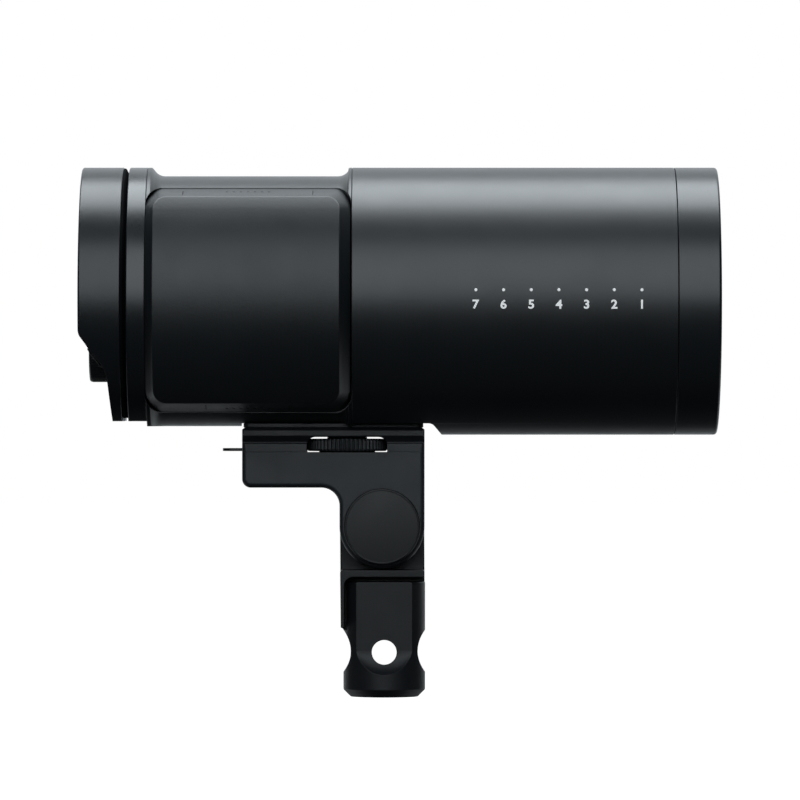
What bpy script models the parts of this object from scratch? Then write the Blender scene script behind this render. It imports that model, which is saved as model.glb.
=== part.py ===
# Monolight strobe on a tilting stand adapter.
# Lengths below are millimetres; make() turns them into metres. +X is the way the light
# points, +Z is up, and the origin is the centre of the stand socket's mouth, on the
# underside of the stem.
import bpy
import bmesh
import math
from mathutils import Matrix, Vector

# ---------------------------------------------------------------- driving dimensions
AXIS_Z = 148.0          # height of the lamp head's axis above the socket mouth
R_BODY = 50.0           # radius of the lamp tube, the size that light shapers clamp on
R_MID = 46.8            # radius of the waisted middle housing
R_PAD = 55.0            # radius of the battery's and the side cover's outer face
X_REAR, X_FRONT = -112.8, 124.4
X_TUBE0, X_TUBE1 = -11.7, 108.4      # lamp tube
X_RING0 = 108.7                      # front ring starts
X_COVER1 = -97.8                     # rear cover ends, the air groove starts
X_BAND0, X_BAND1 = -95.0, -89.2      # band behind the middle housing
X_MID0, X_MID1 = -88.9, -12.0        # middle housing
Y_WALL = 21.0                        # flat wall of the battery bay
PAD_X, PAD_HX, PAD_HZ = -50.45, 35.0, 38.3   # centre and half sizes of the pad's face
PAD_BX, PAD_BZ = 38.2, 41.5                  # half sizes of the pad at its foot
Z_REARFLAT = 103.1                   # flat under the rear cover and band
Z_MIDFLAT = 101.2                    # flat under the middle housing
Z_FOOT = 102.3                       # flat that carries the foot plate
DIAL_Z, R_DIAL = AXIS_Z - 18.3, 12.0
BUTTON_DIR = Vector((0.8, 0.0, 0.6))         # the way a rear button is pressed
BUTTON_X, BUTTON_Z = -106.6, AXIS_Z - 21.0   # a point on the slanted control face
WHEEL_X, R_WHEEL = -13.9, 15.2
PIVOT_X, PIVOT_Z, R_ARM = -0.8, 63.8, 15.85
X_BLOCK0, X_BLOCK1 = -53.0, 15.05    # ends of the adapter's block and plate
R_TONGUE = 15.8                      # round top of the stem's tongue
HALF_W = 13.5                        # half the adapter's width
R_STEM, R_SOCKET, SOCKET_DEPTH = 15.3, 8.05, 37.5
FLAT_Y = -11.2                       # flat milled on the stem
HOLE_Z, R_HOLE = 16.1, 4.65          # hole across the stem
LOCK_Z = 33.0                        # stand lock screw
GAP = 0.3
SEG = 48                             # sides of the big round pieces

for old in list(bpy.data.objects):
    bpy.data.objects.remove(old, do_unlink=True)


# ---------------------------------------------------------------- helpers
def material(name, rgb, rough, metal=0.0, transmission=0.0):
    m = bpy.data.materials.new(name)
    m.use_nodes = True
    b = m.node_tree.nodes["Principled BSDF"]
    b.inputs["Base Color"].default_value = (*rgb, 1)
    b.inputs["Roughness"].default_value = rough
    b.inputs["Metallic"].default_value = metal
    b.inputs["Transmission Weight"].default_value = transmission
    m.diffuse_color = (*rgb, 1)
    return m


BLACK = material("black_plastic", (0.030, 0.032, 0.034), 0.45)
ALU = material("black_anodised", (0.035, 0.038, 0.041), 0.38, 0.6)
GLOSS = material("gloss_black", (0.006, 0.006, 0.007), 0.08)
RUBBER = material("rubber", (0.022, 0.022, 0.023), 0.75)
STEEL = material("steel", (0.55, 0.56, 0.58), 0.3, 1.0)
BRASS = material("brass", (0.72, 0.55, 0.24), 0.32, 1.0)
GLASS = material("frosted_glass", (0.90, 0.92, 0.92), 0.35, 0.0, 0.9)
MIRROR = material("reflector", (0.86, 0.87, 0.88), 0.18, 1.0)
BOARD = material("circuit_board", (0.02, 0.13, 0.06), 0.5)
SLEEVE = material("capacitor_sleeve", (0.05, 0.06, 0.12), 0.4)
CELL = material("cell_wrap", (0.10, 0.32, 0.55), 0.4)
COPPER = material("winding", (0.60, 0.28, 0.12), 0.35, 0.8)
CERAMIC = material("ceramic", (0.85, 0.84, 0.80), 0.5)
LED = material("led_phosphor", (0.90, 0.75, 0.20), 0.5)


def make(name, bm, mat=None, origin=(0, 0, 0), parent=None, smooth=35.0):
    """An object from a bmesh in millimetres, with its own origin at the given point."""
    bmesh.ops.recalc_face_normals(bm, faces=bm.faces)
    bmesh.ops.translate(bm, verts=bm.verts, vec=-Vector(origin))
    bmesh.ops.scale(bm, verts=bm.verts, vec=(0.001,) * 3)
    me = bpy.data.meshes.new(name)
    bm.to_mesh(me)
    bm.free()
    me.shade_smooth()
    me.set_sharp_from_angle(angle=math.radians(smooth))
    if mat:
        me.materials.append(mat)
    ob = bpy.data.objects.new(name, me)
    bpy.context.scene.collection.objects.link(ob)
    ob.location = Vector(origin) * 0.001
    if parent:
        ob.parent = parent
        ob.location = (Vector(origin) - Vector(parent["at"])) * 0.001
    return ob


def pivot(name, at, parent=None):
    """An empty on a joint's axis, which the joint's pieces are parented to."""
    e = bpy.data.objects.new(name, None)
    bpy.context.scene.collection.objects.link(e)
    e["at"] = list(at)
    e.location = Vector(at) * 0.001
    if parent:
        e.parent = parent
        e.location = (Vector(at) - Vector(parent["at"])) * 0.001
    return e


def lathe(profile, seg, axis="X", centre=(0, 0, 0)):
    """A turned solid. profile holds (distance along the axis, radius); it is a closed
    loop, or runs from the axis back to the axis."""
    bm = bmesh.new()
    along, out = {"X": ((1, 0, 0), (0, 0, 1)), "Y": ((0, 1, 0), (1, 0, 0)), "Z": ((0, 0, 1), (1, 0, 0))}[axis]
    along, out = Vector(along), Vector(out)
    vs = [bm.verts.new(along * a + out * r) for a, r in profile]
    on_axis = profile[0][1] == 0 and profile[-1][1] == 0
    es = [bm.edges.new((vs[i], vs[i + 1])) for i in range(len(vs) - 1)]
    if not on_axis:
        es.append(bm.edges.new((vs[-1], vs[0])))
    bmesh.ops.spin(bm, geom=vs + es, cent=(0, 0, 0), axis=along, angle=2 * math.pi, steps=seg, use_merge=True)
    bmesh.ops.remove_doubles(bm, verts=bm.verts, dist=1e-4)
    bmesh.ops.translate(bm, verts=bm.verts, vec=centre)
    return bm


def rod(axis, lo, hi, r, seg, centre):
    return lathe([(lo, 0), (lo, r), (hi, r), (hi, 0)], seg, axis, centre)


def tube(axis, lo, hi, r0, r1, seg, centre):
    return lathe([(lo, r0), (lo, r1), (hi, r1), (hi, r0)], seg, axis, centre)


def prism(pts, axis, lo, hi):
    """An outline extruded along an axis. The outline's plane is the other two axes, in
    X, Y, Z order."""
    bm = bmesh.new()
    place = {"X": lambda p: (lo, p[0], p[1]), "Y": lambda p: (p[0], lo, p[1]), "Z": lambda p: (p[0], p[1], lo)}[axis]
    face = bm.faces.new([bm.verts.new(place(p)) for p in pts])
    grown = bmesh.ops.extrude_face_region(bm, geom=[face])
    step = {"X": (hi - lo, 0, 0), "Y": (0, hi - lo, 0), "Z": (0, 0, hi - lo)}[axis]
    bmesh.ops.translate(bm, verts=[v for v in grown["geom"] if isinstance(v, bmesh.types.BMVert)], vec=step)
    return bm


def box(x0, x1, y0, y1, z0, z1):
    return prism([(x0, y0), (x1, y0), (x1, y1), (x0, y1)], "Z", z0, z1)


def arc(cx, cz, r, a0, a1, n):
    """n + 1 points on an arc, angles in degrees."""
    return [(cx + r * math.cos(math.radians(a0 + (a1 - a0) * i / n)), cz + r * math.sin(math.radians(a0 + (a1 - a0) * i / n))) for i in range(n + 1)]


def rounded(x0, x1, z0, z1, r, n=4):
    return (arc(x1 - r, z0 + r, r, -90, 0, n) + arc(x1 - r, z1 - r, r, 0, 90, n)
            + arc(x0 + r, z1 - r, r, 90, 180, n) + arc(x0 + r, z0 + r, r, 180, 270, n))


def boolean(ob, cutter_bm, label, operation="DIFFERENCE"):
    """Adds a hidden cutter. Cutters that follow each other with the same operation share
    one Boolean modifier, which reads them from a collection."""
    cutter = make(f"cut_{ob.name}_{label}", cutter_bm)
    cutter.hide_render = True
    cutter.display_type = "WIRE"
    m = ob.modifiers[-1] if ob.modifiers else None
    if m is None or m.operation != operation:
        m = ob.modifiers.new(label, "BOOLEAN")
        m.operation = operation
        m.solver = "EXACT"
        m.operand_type = "COLLECTION"
        m.collection = bpy.data.collections.new(f"cutters_{ob.name}_{label}")
    m.collection.objects.link(cutter)
    return cutter


def outline(hx, hz, r, n, side):
    """Right half of a rounded rectangle, bottom to top; the left half mirrors it."""
    low = [(hx - r + r * math.cos(t), -hz + r + r * math.sin(t)) for t in [math.radians(-90 + 90 * i / n) for i in range(n + 1)]]
    mid = [(hx, -hz + r + (2 * hz - 2 * r) * i / side) for i in range(1, side)]
    return low + mid + [(x, -z) for x, z in reversed(low)]


def pad(levels, sign, n=4, side=8):
    """A block whose outer face lies on a cylinder round the lamp axis. levels holds
    (half length, half height, corner radius, surface) from the outside in, where
    surface turns a height into a distance from the centre plane. sign is -1 for the
    battery's side and +1 for the other one."""
    bm = bmesh.new()
    rings = []
    for hx, hz, r, surface in levels:
        half = outline(hx, hz, r, n, side)
        right = [bm.verts.new((PAD_X + x, sign * surface(z), AXIS_Z + z)) for x, z in half]
        left = [bm.verts.new((PAD_X - x, sign * surface(z), AXIS_Z + z)) for x, z in half]
        rings.append((right, left))
    for right, left in (rings[0], rings[-1]):
        for i in range(len(right) - 1):
            bm.faces.new((right[i], right[i + 1], left[i + 1], left[i]))
    for (r0, l0), (r1, l1) in zip(rings, rings[1:]):
        a, b = r0 + l0[::-1], r1 + l1[::-1]
        for i in range(len(a)):
            j = (i + 1) % len(a)
            bm.faces.new((a[i], a[j], b[j], b[i]))
    return bm


def on_cylinder(radius):
    return lambda z: math.sqrt(max(radius * radius - z * z, 1.0))


def at_plane(y):
    return lambda z: y


def pad_block(sign, inset=0.0, back=Y_WALL + GAP):
    """The battery's and the side cover's outer shape, or its hollow when inset."""
    return pad([
        (PAD_HX - inset, PAD_HZ - inset, 5.0 - 0.5 * inset, on_cylinder(R_PAD - inset)),
        (PAD_BX - inset, PAD_HZ + 1.3 - inset, 7.5 - 0.5 * inset, on_cylinder(R_BODY - 0.4 - inset)),
        (PAD_BX - inset, PAD_BZ - inset, 7.5 - 0.5 * inset, at_plane(back)),
    ], sign)


C = (0, 0, AXIS_Z)

# ---------------------------------------------------------------- joint axes
stem_at = pivot("at_stem", (0, 0, 0))
head_at = pivot("at_tilt", (PIVOT_X, 0, PIVOT_Z), stem_at)

# ---------------------------------------------------------------- stem
stem = make("stem", lathe([(0, 0), (0, R_STEM - 2.7), (2.7, R_STEM), (43.0, R_STEM), (43.0, 0)], 36, "Z"), ALU, parent=stem_at)
plate_outline = ([(-16.1, 24.0), (15.2, 24.0), (PIVOT_X + R_TONGUE, PIVOT_Z)]
                 + arc(PIVOT_X, PIVOT_Z, R_TONGUE, 0, 180, 16)[1:-1] + [(PIVOT_X - R_TONGUE, PIVOT_Z), (-16.4, 40.0)])
boolean(stem, prism(plate_outline, "Y", 1.0, 12.0), "tongue", "UNION")
boolean(stem, prism([(-20, 60), (FLAT_Y, 60), (FLAT_Y, 17.5), (-11.7, 14.0), (-12.9, 11.0), (-15.6, 8.2), (-20, 8.2)], "X", -20, 20), "flat")
boolean(stem, prism([(-20, 27), (-13.9, 27), (-13.9, 40.8), (-13.2, 42.4), (-11.6, 43.4), (-20, 43.4)], "Y", -20, 0.7), "side_relief")
for s, tag in ((-1, "left"), (1, "right")):
    boolean(stem, rod("Y", -20, 20, 12.5, 32, (s * 25.0, 0, 17.1)), f"scallop_{tag}")
boolean(stem, rod("Y", -20, 20, R_HOLE, 24, (0, 0, HOLE_Z)), "cross_hole")
boolean(stem, lathe([(-2, 0), (-2, R_SOCKET + 0.6), (0.0, R_SOCKET + 0.6), (0.6, R_SOCKET), (SOCKET_DEPTH - 1.5, R_SOCKET), (SOCKET_DEPTH, 6.0), (SOCKET_DEPTH, 0)], 24, "Z"), "socket")
boolean(stem, rod("Y", -5, 20, 4.4, 24, (PIVOT_X, 0, PIVOT_Z)), "pivot_bore")
boolean(stem, rod("Y", 4, 20, 3.35, 20, (0, 0, LOCK_Z)), "lock_bore")

# stand lock screw: a pad that slides, and the knob and screw that push it
lock_at = pivot("at_lock_slide", (0, 0, LOCK_Z), stem_at)
turn_at = pivot("at_lock_turn", (0, 0, LOCK_Z), lock_at)
make("lock_pad", lathe([(8.5, 0), (8.5, 2.3), (8.9, 2.9), (10.5, 2.9), (10.5, 0)], 14, "Y", (0, 0, LOCK_Z)), BRASS, (0, 0, LOCK_Z), lock_at)
make("stand_lock_screw", lathe([(10.8, 0), (10.8, 2.6), (11.3, 3.0), (27.5, 3.0), (27.5, 0)], 14, "Y", (0, 0, LOCK_Z)), STEEL, (0, 0, LOCK_Z), turn_at)
lock_knob = make("stand_lock_knob", lathe([(20.0, 3.3), (20.0, 6.5), (22.0, 6.5), (22.4, 10.4), (23.2, 11.2), (30.6, 11.2), (31.6, 10.2), (31.6, 0), (28.0, 0), (28.0, 3.3)], 24, "Y", (0, 0, LOCK_Z)), BLACK, (0, 0, LOCK_Z), turn_at)
for i in range(6):
    a = math.radians(60 * i + 30)
    boolean(lock_knob, rod("Y", 22.1, 33, 3.0, 10, (13.0 * math.cos(a), 0, LOCK_Z + 13.0 * math.sin(a))), f"lobe_{i}")

# tilt clamp: the bolt is keyed in the adapter's arm and passes through the stem's
# tongue; the knob pulls it tight against a thrust washer
P = (PIVOT_X, 0, PIVOT_Z)
washer_at = pivot("at_tilt_washer", P, head_at)
knob_at = pivot("at_tilt_knob", P, washer_at)
make("tilt_bolt", lathe([(-11.7, 0), (-11.7, 6.6), (-11.2, 7.0), (-9.4, 7.0), (-9.4, 4.0), (25.0, 4.0), (25.0, 0)], 18, "Y", P), STEEL, P, head_at)
make("tilt_washer", tube("Y", 12.3, 13.3, 4.4, 9.5, 18, P), STEEL, P, washer_at)
tilt_knob = make("tilt_knob", lathe([(13.6, 4.3), (13.6, 12.6), (14.1, 13.2), (16.8, 13.2), (17.6, 12.4), (17.6, 7.5), (29.2, 6.4), (29.8, 5.8), (29.8, 0), (27.0, 0), (27.0, 4.3)], 24, "Y", P), BLACK, P, knob_at)
wing = prism(rounded(PIVOT_X - 4.6, PIVOT_X + 4.6, PIVOT_Z - 14.2, PIVOT_Z + 14.2, 4.5, 3), "Y", 17.1, 28.8)
boolean(tilt_knob, wing, "wing", "UNION")
boolean(tilt_knob, rod("Y", 12.0, 27.0, 4.3, 24, P), "bolt_bore")
make("friction_washer", tube("Y", -0.7, 0.7, 4.6, 13.4, 20, P), BRASS, P, stem_at)

# ---------------------------------------------------------------- stand adapter
# The arm is half as deep as the block above it, so the outline is extruded in two steps.
block_low = arc(X_BLOCK0 + 3.0, 81.3, 3.0, 180, 270, 4)
X_FILLET = PIVOT_X - R_ARM - 6.8
inner_fillet = arc(X_FILLET, 71.5, 6.8, 90, 0, 6)
arm = [(PIVOT_X - R_ARM, PIVOT_Z)] + arc(PIVOT_X, PIVOT_Z, R_ARM, 180, 360, 20)[1:]
bm = bmesh.new()
block_pts = [(X_BLOCK0, 91.6)] + block_low + [(X_FILLET, 78.3), (X_BLOCK1, 78.3), (X_BLOCK1, 91.6)]
arm_pts = inner_fillet + arm
rows = {}
for y in (-HALF_W, -0.8, HALF_W):
    for p in block_pts + arm_pts:
        key = (y, round(p[0], 5), round(p[1], 5))
        if key not in rows:
            rows[key] = bm.verts.new((p[0], y, p[1]))


def vert(y, p):
    return rows[(y, round(p[0], 5), round(p[1], 5))]


whole = [(X_BLOCK0, 91.6)] + block_low + inner_fillet + arm + [(X_BLOCK1, 78.3), (X_BLOCK1, 91.6)]
bm.faces.new([vert(-HALF_W, p) for p in whole])
for a, b in zip(whole, whole[1:] + whole[:1]):
    bm.faces.new((vert(-HALF_W, a), vert(-HALF_W, b), vert(-0.8, b), vert(-0.8, a)))
bm.faces.new([vert(-0.8, p) for p in arm_pts + [(X_BLOCK1, 78.3)]])
for a, b in zip(block_pts, block_pts[1:] + block_pts[:1]):
    bm.faces.new((vert(-0.8, a), vert(-0.8, b), vert(HALF_W, b), vert(HALF_W, a)))
bm.faces.new([vert(HALF_W, p) for p in block_pts])
loose = [v for v in bm.verts if not v.link_faces]
bmesh.ops.delete(bm, geom=loose, context="VERTS")
adapter_body = make("adapter_body", bm, ALU, parent=head_at)
boolean(adapter_body, rod("Y", -1.1, 20, 16.4, 36, P), "tongue_pocket")
boolean(adapter_body, box(-20.0, 20, -1.1, 20, 70, 80.7), "tongue_sweep")
boolean(adapter_body, lathe([(-20, 0), (-20, 10.0), (-9.0, 10.0), (-9.0, 4.4), (5, 4.4), (5, 0)], 24, "Y", P), "pivot_bore")
boolean(adapter_body, box(-29.6, 1.6, -20, 20, 91.2, 95), "wheel_recess")
boolean(adapter_body, rod("Z", 83.5, 95, 3.7, 14, (WHEEL_X, 0, 0)), "screw_hole")
for i, x in enumerate((-46.5, -35.0)):
    boolean(adapter_body, lathe([(70, 0), (70, 3.4), (81.6, 3.4), (81.6, 1.9), (95, 1.9), (95, 0)], 12, "Z", (x, 0, 0)), f"screw_seat_{i}")

profile = [(13.5, 91.9), (13.5, 94.9), (10.6, 94.9), (12.9, 97.7), (12.9, 99.6), (11.9, 100.7)]
profile = profile + [(-y, z) for y, z in reversed(profile)]
adapter_plate = make("adapter_plate", prism(profile, "X", X_BLOCK0, X_BLOCK1), ALU, parent=head_at)
boolean(adapter_plate, box(-29.6, 1.6, -20, 20, 90, 97.2), "wheel_slot")
boolean(adapter_plate, rod("Z", 90, 105, 3.6, 14, (WHEEL_X, 0, 0)), "screw_hole")
boolean(adapter_plate, box(-60, -41.8, -5.4, 5.4, 90, 93.3), "tab_pocket")
for s, x in ((-1, X_BLOCK0), (1, X_BLOCK1)):
    boolean(adapter_plate, prism([(x + s * 1, 99.2), (x - s * 1.6, 101.2), (x + s * 1, 103)], "Y", -20, 20), f"end_bevel_{'rf'[s > 0]}")
boolean(adapter_plate, rod("Z", 90, 97.5, 1.9, 12, (-35.0, 0, 0)), "tapped_hole_0")
boolean(adapter_plate, rod("Z", 90, 97.5, 1.9, 12, (-46.5, 0, 0)), "tapped_hole_1")

tab = make("safety_tab", prism(arc(-56.9, 0, 3.6, 90, 270, 10) + [(-42.6, -3.6), (-42.6, 3.6)], "Z", 91.9, 93.0), STEEL, parent=head_at)
boolean(tab, rod("Z", 90, 95, 1.5, 12, (-57.4, 0, 0)), "eye")
boolean(tab, rod("Z", 90, 95, 1.9, 12, (-46.5, 0, 0)), "screw_hole")
for i, x in enumerate((-46.5, -35.0), 1):
    make(f"adapter_screw_{i}", lathe([(79.0, 0), (79.0, 2.6), (79.4, 3.0), (81.3, 3.0), (81.3, 1.6), (97.0, 1.6), (97.0, 0)], 12, "Z", (x, 0, 0)), STEEL, (x, 0, 80), head_at)

cap = make("pivot_cap", lathe([(-15.5, 0), (-15.5, 13.7), (-15.2, 14.25), (-13.8, 14.3), (-13.8, 9.6), (-12.1, 9.6), (-12.1, 0)], 32, "Y", P), ALU, P, head_at)

wheel_at = pivot("at_thumb_wheel", (WHEEL_X, 0, 94.2), head_at)
W = (WHEEL_X, 0, 0)
make("thumb_wheel", lathe([(91.5, 3.5), (91.5, 10.5), (91.9, 10.5), (91.9, 14.6), (92.5, R_WHEEL), (95.9, R_WHEEL), (96.5, 14.6), (96.5, 7.5), (96.9, 7.5), (96.9, 3.5)], 32, "Z", W), ALU, (WHEEL_X, 0, 94.2), wheel_at)
make("clamp_screw", lathe([(84.2, 0), (84.2, 3.15), (109.8, 3.15), (110.8, 2.3), (110.8, 0)], 12, "Z", W), STEEL, (WHEEL_X, 0, 94.2), wheel_at)

# ---------------------------------------------------------------- foot under the head
foot = make("foot_plate", prism(rounded(-52.5, 14.6, -12.3, 12.3, 2.5, 3), "Z", 101.0, Z_FOOT - GAP), ALU, parent=head_at)
boolean(foot, rod("Z", 99, 104, 3.6, 14, W), "screw_hole")
for i, x in enumerate((-46.0, 8.0), 1):
    boolean(foot, lathe([(99, 0), (99, 3.2), (101.2, 3.2), (102.3, 1.8), (104, 1.8), (104, 0)], 12, "Z", (x, 0, 0)), f"countersink_{i}")
    make(f"foot_screw_{i}", lathe([(101.05, 0), (101.05, 2.8), (102.4, 1.45), (108.4, 1.45), (108.4, 0)], 12, "Z", (x, 0, 0)), STEEL, (x, 0, 101), head_at)
make("foot_insert", tube("Z", 105.9, 112.0, 3.55, 6.5, 14, W), BRASS, parent=head_at)

# ---------------------------------------------------------------- lamp tube and front
ramp = [(-14, 90), (-14, Z_FOOT), (15.4, Z_FOOT), (17.3, 101.9), (18.8, 100.8), (21.9, 97.7), (26.0, 93.2), (26.0, 90)]
front_tube = make("front_tube", rod("X", X_TUBE0, X_TUBE1, R_BODY, SEG, C), ALU, parent=head_at)
boolean(front_tube, prism(ramp, "Y", -60, 60), "foot_flat")
hollow = rod("X", X_TUBE0 - 5, X_TUBE1 + 5, 47.5, SEG, C)
hollow_ob = boolean(front_tube, hollow, "hollow")
boolean(hollow_ob, box(-30, 27.0, -60, 60, 80, 105.0), "floor")
boolean(front_tube, rod("Z", 98, 110, 1.9, 12, (8.0, 0, 0)), "screw_hole")
boolean(front_tube, rod("Z", 98, 110, 3.6, 14, W), "clamp_hole")

make("front_ring", lathe([(X_RING0, R_BODY), (123.5, R_BODY), (X_FRONT, 49.1), (X_FRONT, 45.6), (122.6, 45.6), (122.6, 47.0), (112.0, 47.0), (112.0, 45.2), (102.5, 45.2), (102.5, 47.2), (X_RING0, 47.2)], SEG, "X", C), ALU, parent=head_at)
make("front_glass", lathe([(119.5, 0), (119.5, 46.7), (122.2, 46.7), (122.2, 0)], SEG, "X", C), GLASS, parent=head_at)
make("glass_seal", tube("X", 117.7, 119.2, 44.4, 46.7, 32, C), RUBBER, parent=head_at)

bowl = [(72.0 + 44.2 * t, 14.0 + 30.4 * math.sqrt(t)) for t in (0.0, 0.03, 0.13, 0.34, 0.64, 1.0)]
shell = [(x - 0.6, r + 1.1) for x, r in bowl]
reflector = make("reflector", lathe([(72.0, 12.4)] + bowl + [(117.4, 44.4), (117.4, 46.7), (116.2, 46.7), (116.2, 45.6)] + shell[::-1][1:] + [(70.8, 14.9), (70.8, 12.4)], 32, "X", C), MIRROR, parent=head_at)
LEG = [(22.0 * math.sin(math.radians(s * 17)), -22.0 * math.cos(math.radians(17))) for s in (-1, 1)]
for (y, z), tag in zip(LEG, "ab"):
    boolean(reflector, rod("X", 66, 92, 4.6, 12, (0, y, AXIS_Z + z)), f"leg_{tag}")


def flash_path():
    """Leg, ring and leg of the flash tube, as points in millimetres."""
    def leg(a, rev):
        y, z = 22.0 * math.sin(a), -22.0 * math.cos(a)
        pts = [(62.3, y, z), (72.0, y, z), (80.5, y, z)]
        return pts[::-1] if rev else pts
    a0 = math.radians(17)
    ring = []
    for i in range(25):
        a = a0 + (2 * math.pi - 2 * a0) * i / 24
        lift = 84.5 - 1.6 * math.exp(-min(i, 24 - i) / 1.0)
        ring.append((lift, 22.0 * math.sin(a), -22.0 * math.cos(a)))
    return leg(a0, False) + ring + leg(-a0, True)


curve = bpy.data.curves.new("flash_tube", "CURVE")
curve.dimensions = "3D"
curve.bevel_depth = 0.0034
curve.bevel_resolution = 1
curve.use_fill_caps = True
path = flash_path()
spline = curve.splines.new("POLY")
spline.points.add(len(path) - 1)
for p, (x, y, z) in zip(spline.points, path):
    p.co = (x * 0.001, y * 0.001, (AXIS_Z + z) * 0.001, 1)
curve.materials.append(GLASS)
flash = bpy.data.objects.new("flash_tube", curve)
bpy.context.scene.collection.objects.link(flash)
flash.parent = head_at
flash.matrix_parent_inverse = Matrix.Translation(-Vector(P) * 0.001)

socket = make("flash_tube_socket", prism(rounded(-12.5, 12.5, AXIS_Z - 28.0, AXIS_Z - 14.5, 2.0, 2), "X", 58.0, 69.4), CERAMIC, parent=head_at)
for (y, z), tag in zip(LEG, "ab"):
    boolean(socket, rod("X", 61.8, 75, 3.9, 12, (0, y, AXIS_Z + z)), f"leg_{tag}")
make("modeling_led", lathe([(69.9, 0), (69.9, 11.8), (71.6, 11.8), (71.6, 8.2), (72.3, 7.6), (72.6, 0)], 20, "X", C), LED, parent=head_at)
fins = [(44.0, 0)]
for x in (44.0, 48.0, 52.0):
    fins += [(x, 26.0), (x + 1.6, 26.0), (x + 1.6, 9.0), (x + 4.0, 9.0)]
fins += [(56.0, 26.0), (57.6, 26.0), (57.6, 9.0), (66.6, 9.0), (66.6, 12.0), (69.6, 12.0), (69.6, 0)]
make("led_heatsink", lathe(fins, 20, "X", C), ALU, parent=head_at)

# ---------------------------------------------------------------- fan
frame_pts = rounded(-31, 31, AXIS_Z - 31, AXIS_Z + 31, 4.0, 3)
fan_frame = make("fan_frame", prism(frame_pts, "X", 30.0, 40.8), BLACK, parent=head_at)
bore = rod("X", 31.3, 45.0, 28.6, 24, C)
boolean(fan_frame, bore, "bore")
for i in range(3):
    a0, a1 = 120 * i + 8, 120 * i + 112
    window = prism([(y, AXIS_Z + z) for y, z in arc(0, 0, 28.0, a0, a1, 8) + arc(0, 0, 12.5, a1, a0, 4)], "X", 25.0, 35.0)
    boolean(fan_frame, window, f"window_{i}")
fan_at = pivot("at_fan", (36.0, 0, AXIS_Z), head_at)
rotor = make("fan_rotor", lathe([(32.4, 0), (32.4, 11.0), (39.0, 11.0), (39.6, 10.4), (39.6, 0)], 20, "X", C), BLACK, (36.0, 0, AXIS_Z), fan_at)
for i in range(7):
    blade = prism([(-1.0, -4.4), (1.0, -4.4), (1.0, 4.4), (-1.0, 4.4)], "Z", 9.5, 27.2)
    bmesh.ops.rotate(blade, verts=blade.verts, cent=(0, 0, 0), matrix=Matrix.Rotation(math.radians(52), 3, "Z"))
    bmesh.ops.rotate(blade, verts=blade.verts, cent=(0, 0, 0), matrix=Matrix.Rotation(2 * math.pi * i / 7, 3, "X"))
    bmesh.ops.translate(blade, verts=blade.verts, vec=(36.0, 0, AXIS_Z))
    boolean(rotor, blade, f"blade_{i}", "UNION")

# ---------------------------------------------------------------- middle housing
waist = ([(X_MID0, 0), (X_MID0, R_BODY), (-86.6, R_BODY)] + arc(-81.9, 51.4, 4.6, 215, 270, 4)
         + arc(-17.3, 51.4, 4.6, 270, 325, 4) + [(-12.9, R_BODY), (X_MID1, R_BODY), (X_MID1, 0)])
mid = make("mid_housing", lathe(waist, SEG, "X", C), BLACK, parent=head_at)
boolean(mid, box(-95, -5, -60, 60, 80, Z_MIDFLAT), "under")
boolean(mid, box(-53.5, -5, -13.0, 13.0, 80, Z_FOOT), "foot_seat")
boolean(mid, box(-95, -5, -80, -Y_WALL, AXIS_Z - 42.0, AXIS_Z + 42.0), "battery_bay")
boolean(mid, box(-95, -5, Y_WALL, 80, AXIS_Z - 42.0, AXIS_Z + 42.0), "side_window")
hollow_ob = boolean(mid, rod("X", -93, -7, 44.0, SEG, C), "hollow")
boolean(hollow_ob, box(-99, -3, -60, 1 - Y_WALL - 3 + 4.0, 80, 220), "bay_wall")
boolean(hollow_ob, box(-99, -3, -60, 60, 80, 105.6), "floor")
boolean(mid, rod("Z", 98, 110, 3.6, 14, W), "clamp_hole")
boolean(mid, rod("Z", 98, 110, 1.9, 12, (-46.0, 0, 0)), "screw_hole")
boolean(mid, box(-66.3, -49.7, -25, -15, AXIS_Z - 5.3, AXIS_Z + 5.3), "connector_slot")
make("battery_connector", box(-66.0, -50.0, -22.4, -17.5, AXIS_Z - 5.0, AXIS_Z + 5.0), BRASS, parent=head_at)

side_cover = make("side_cover", pad_block(1), BLACK, parent=head_at)
boolean(side_cover, pad_block(1, 2.0, Y_WALL - 3), "hollow")

# ---------------------------------------------------------------- battery
bat_at = pivot("at_battery", (PAD_X, -R_PAD, AXIS_Z), head_at)
battery = make("battery_cover", pad_block(-1), BLACK, (PAD_X, -R_PAD, AXIS_Z), bat_at)
boolean(battery, pad_block(-1, 2.0, Y_WALL - 3), "hollow")


def release(sign, half_len, grow, thick):
    """A release bar that lies in the battery's sloping top or bottom face."""
    slope = (PAD_BZ - PAD_HZ - 0.0) / (39.4 - Y_WALL - GAP)
    def z_at(y):
        return PAD_HZ + (39.4 + y) * slope
    y0, y1 = -36.2 - grow, -27.0 + grow
    pts = [(y0, z_at(y0) + 0.5 + 3 * grow), (y1, z_at(y1) + 0.5 + 3 * grow), (y1, z_at(y1) + 0.5 - thick), (y0, z_at(y0) + 0.5 - thick)]
    return prism([(y, AXIS_Z + sign * z) for y, z in pts], "X", PAD_X - half_len - grow, PAD_X + half_len + grow)


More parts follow.
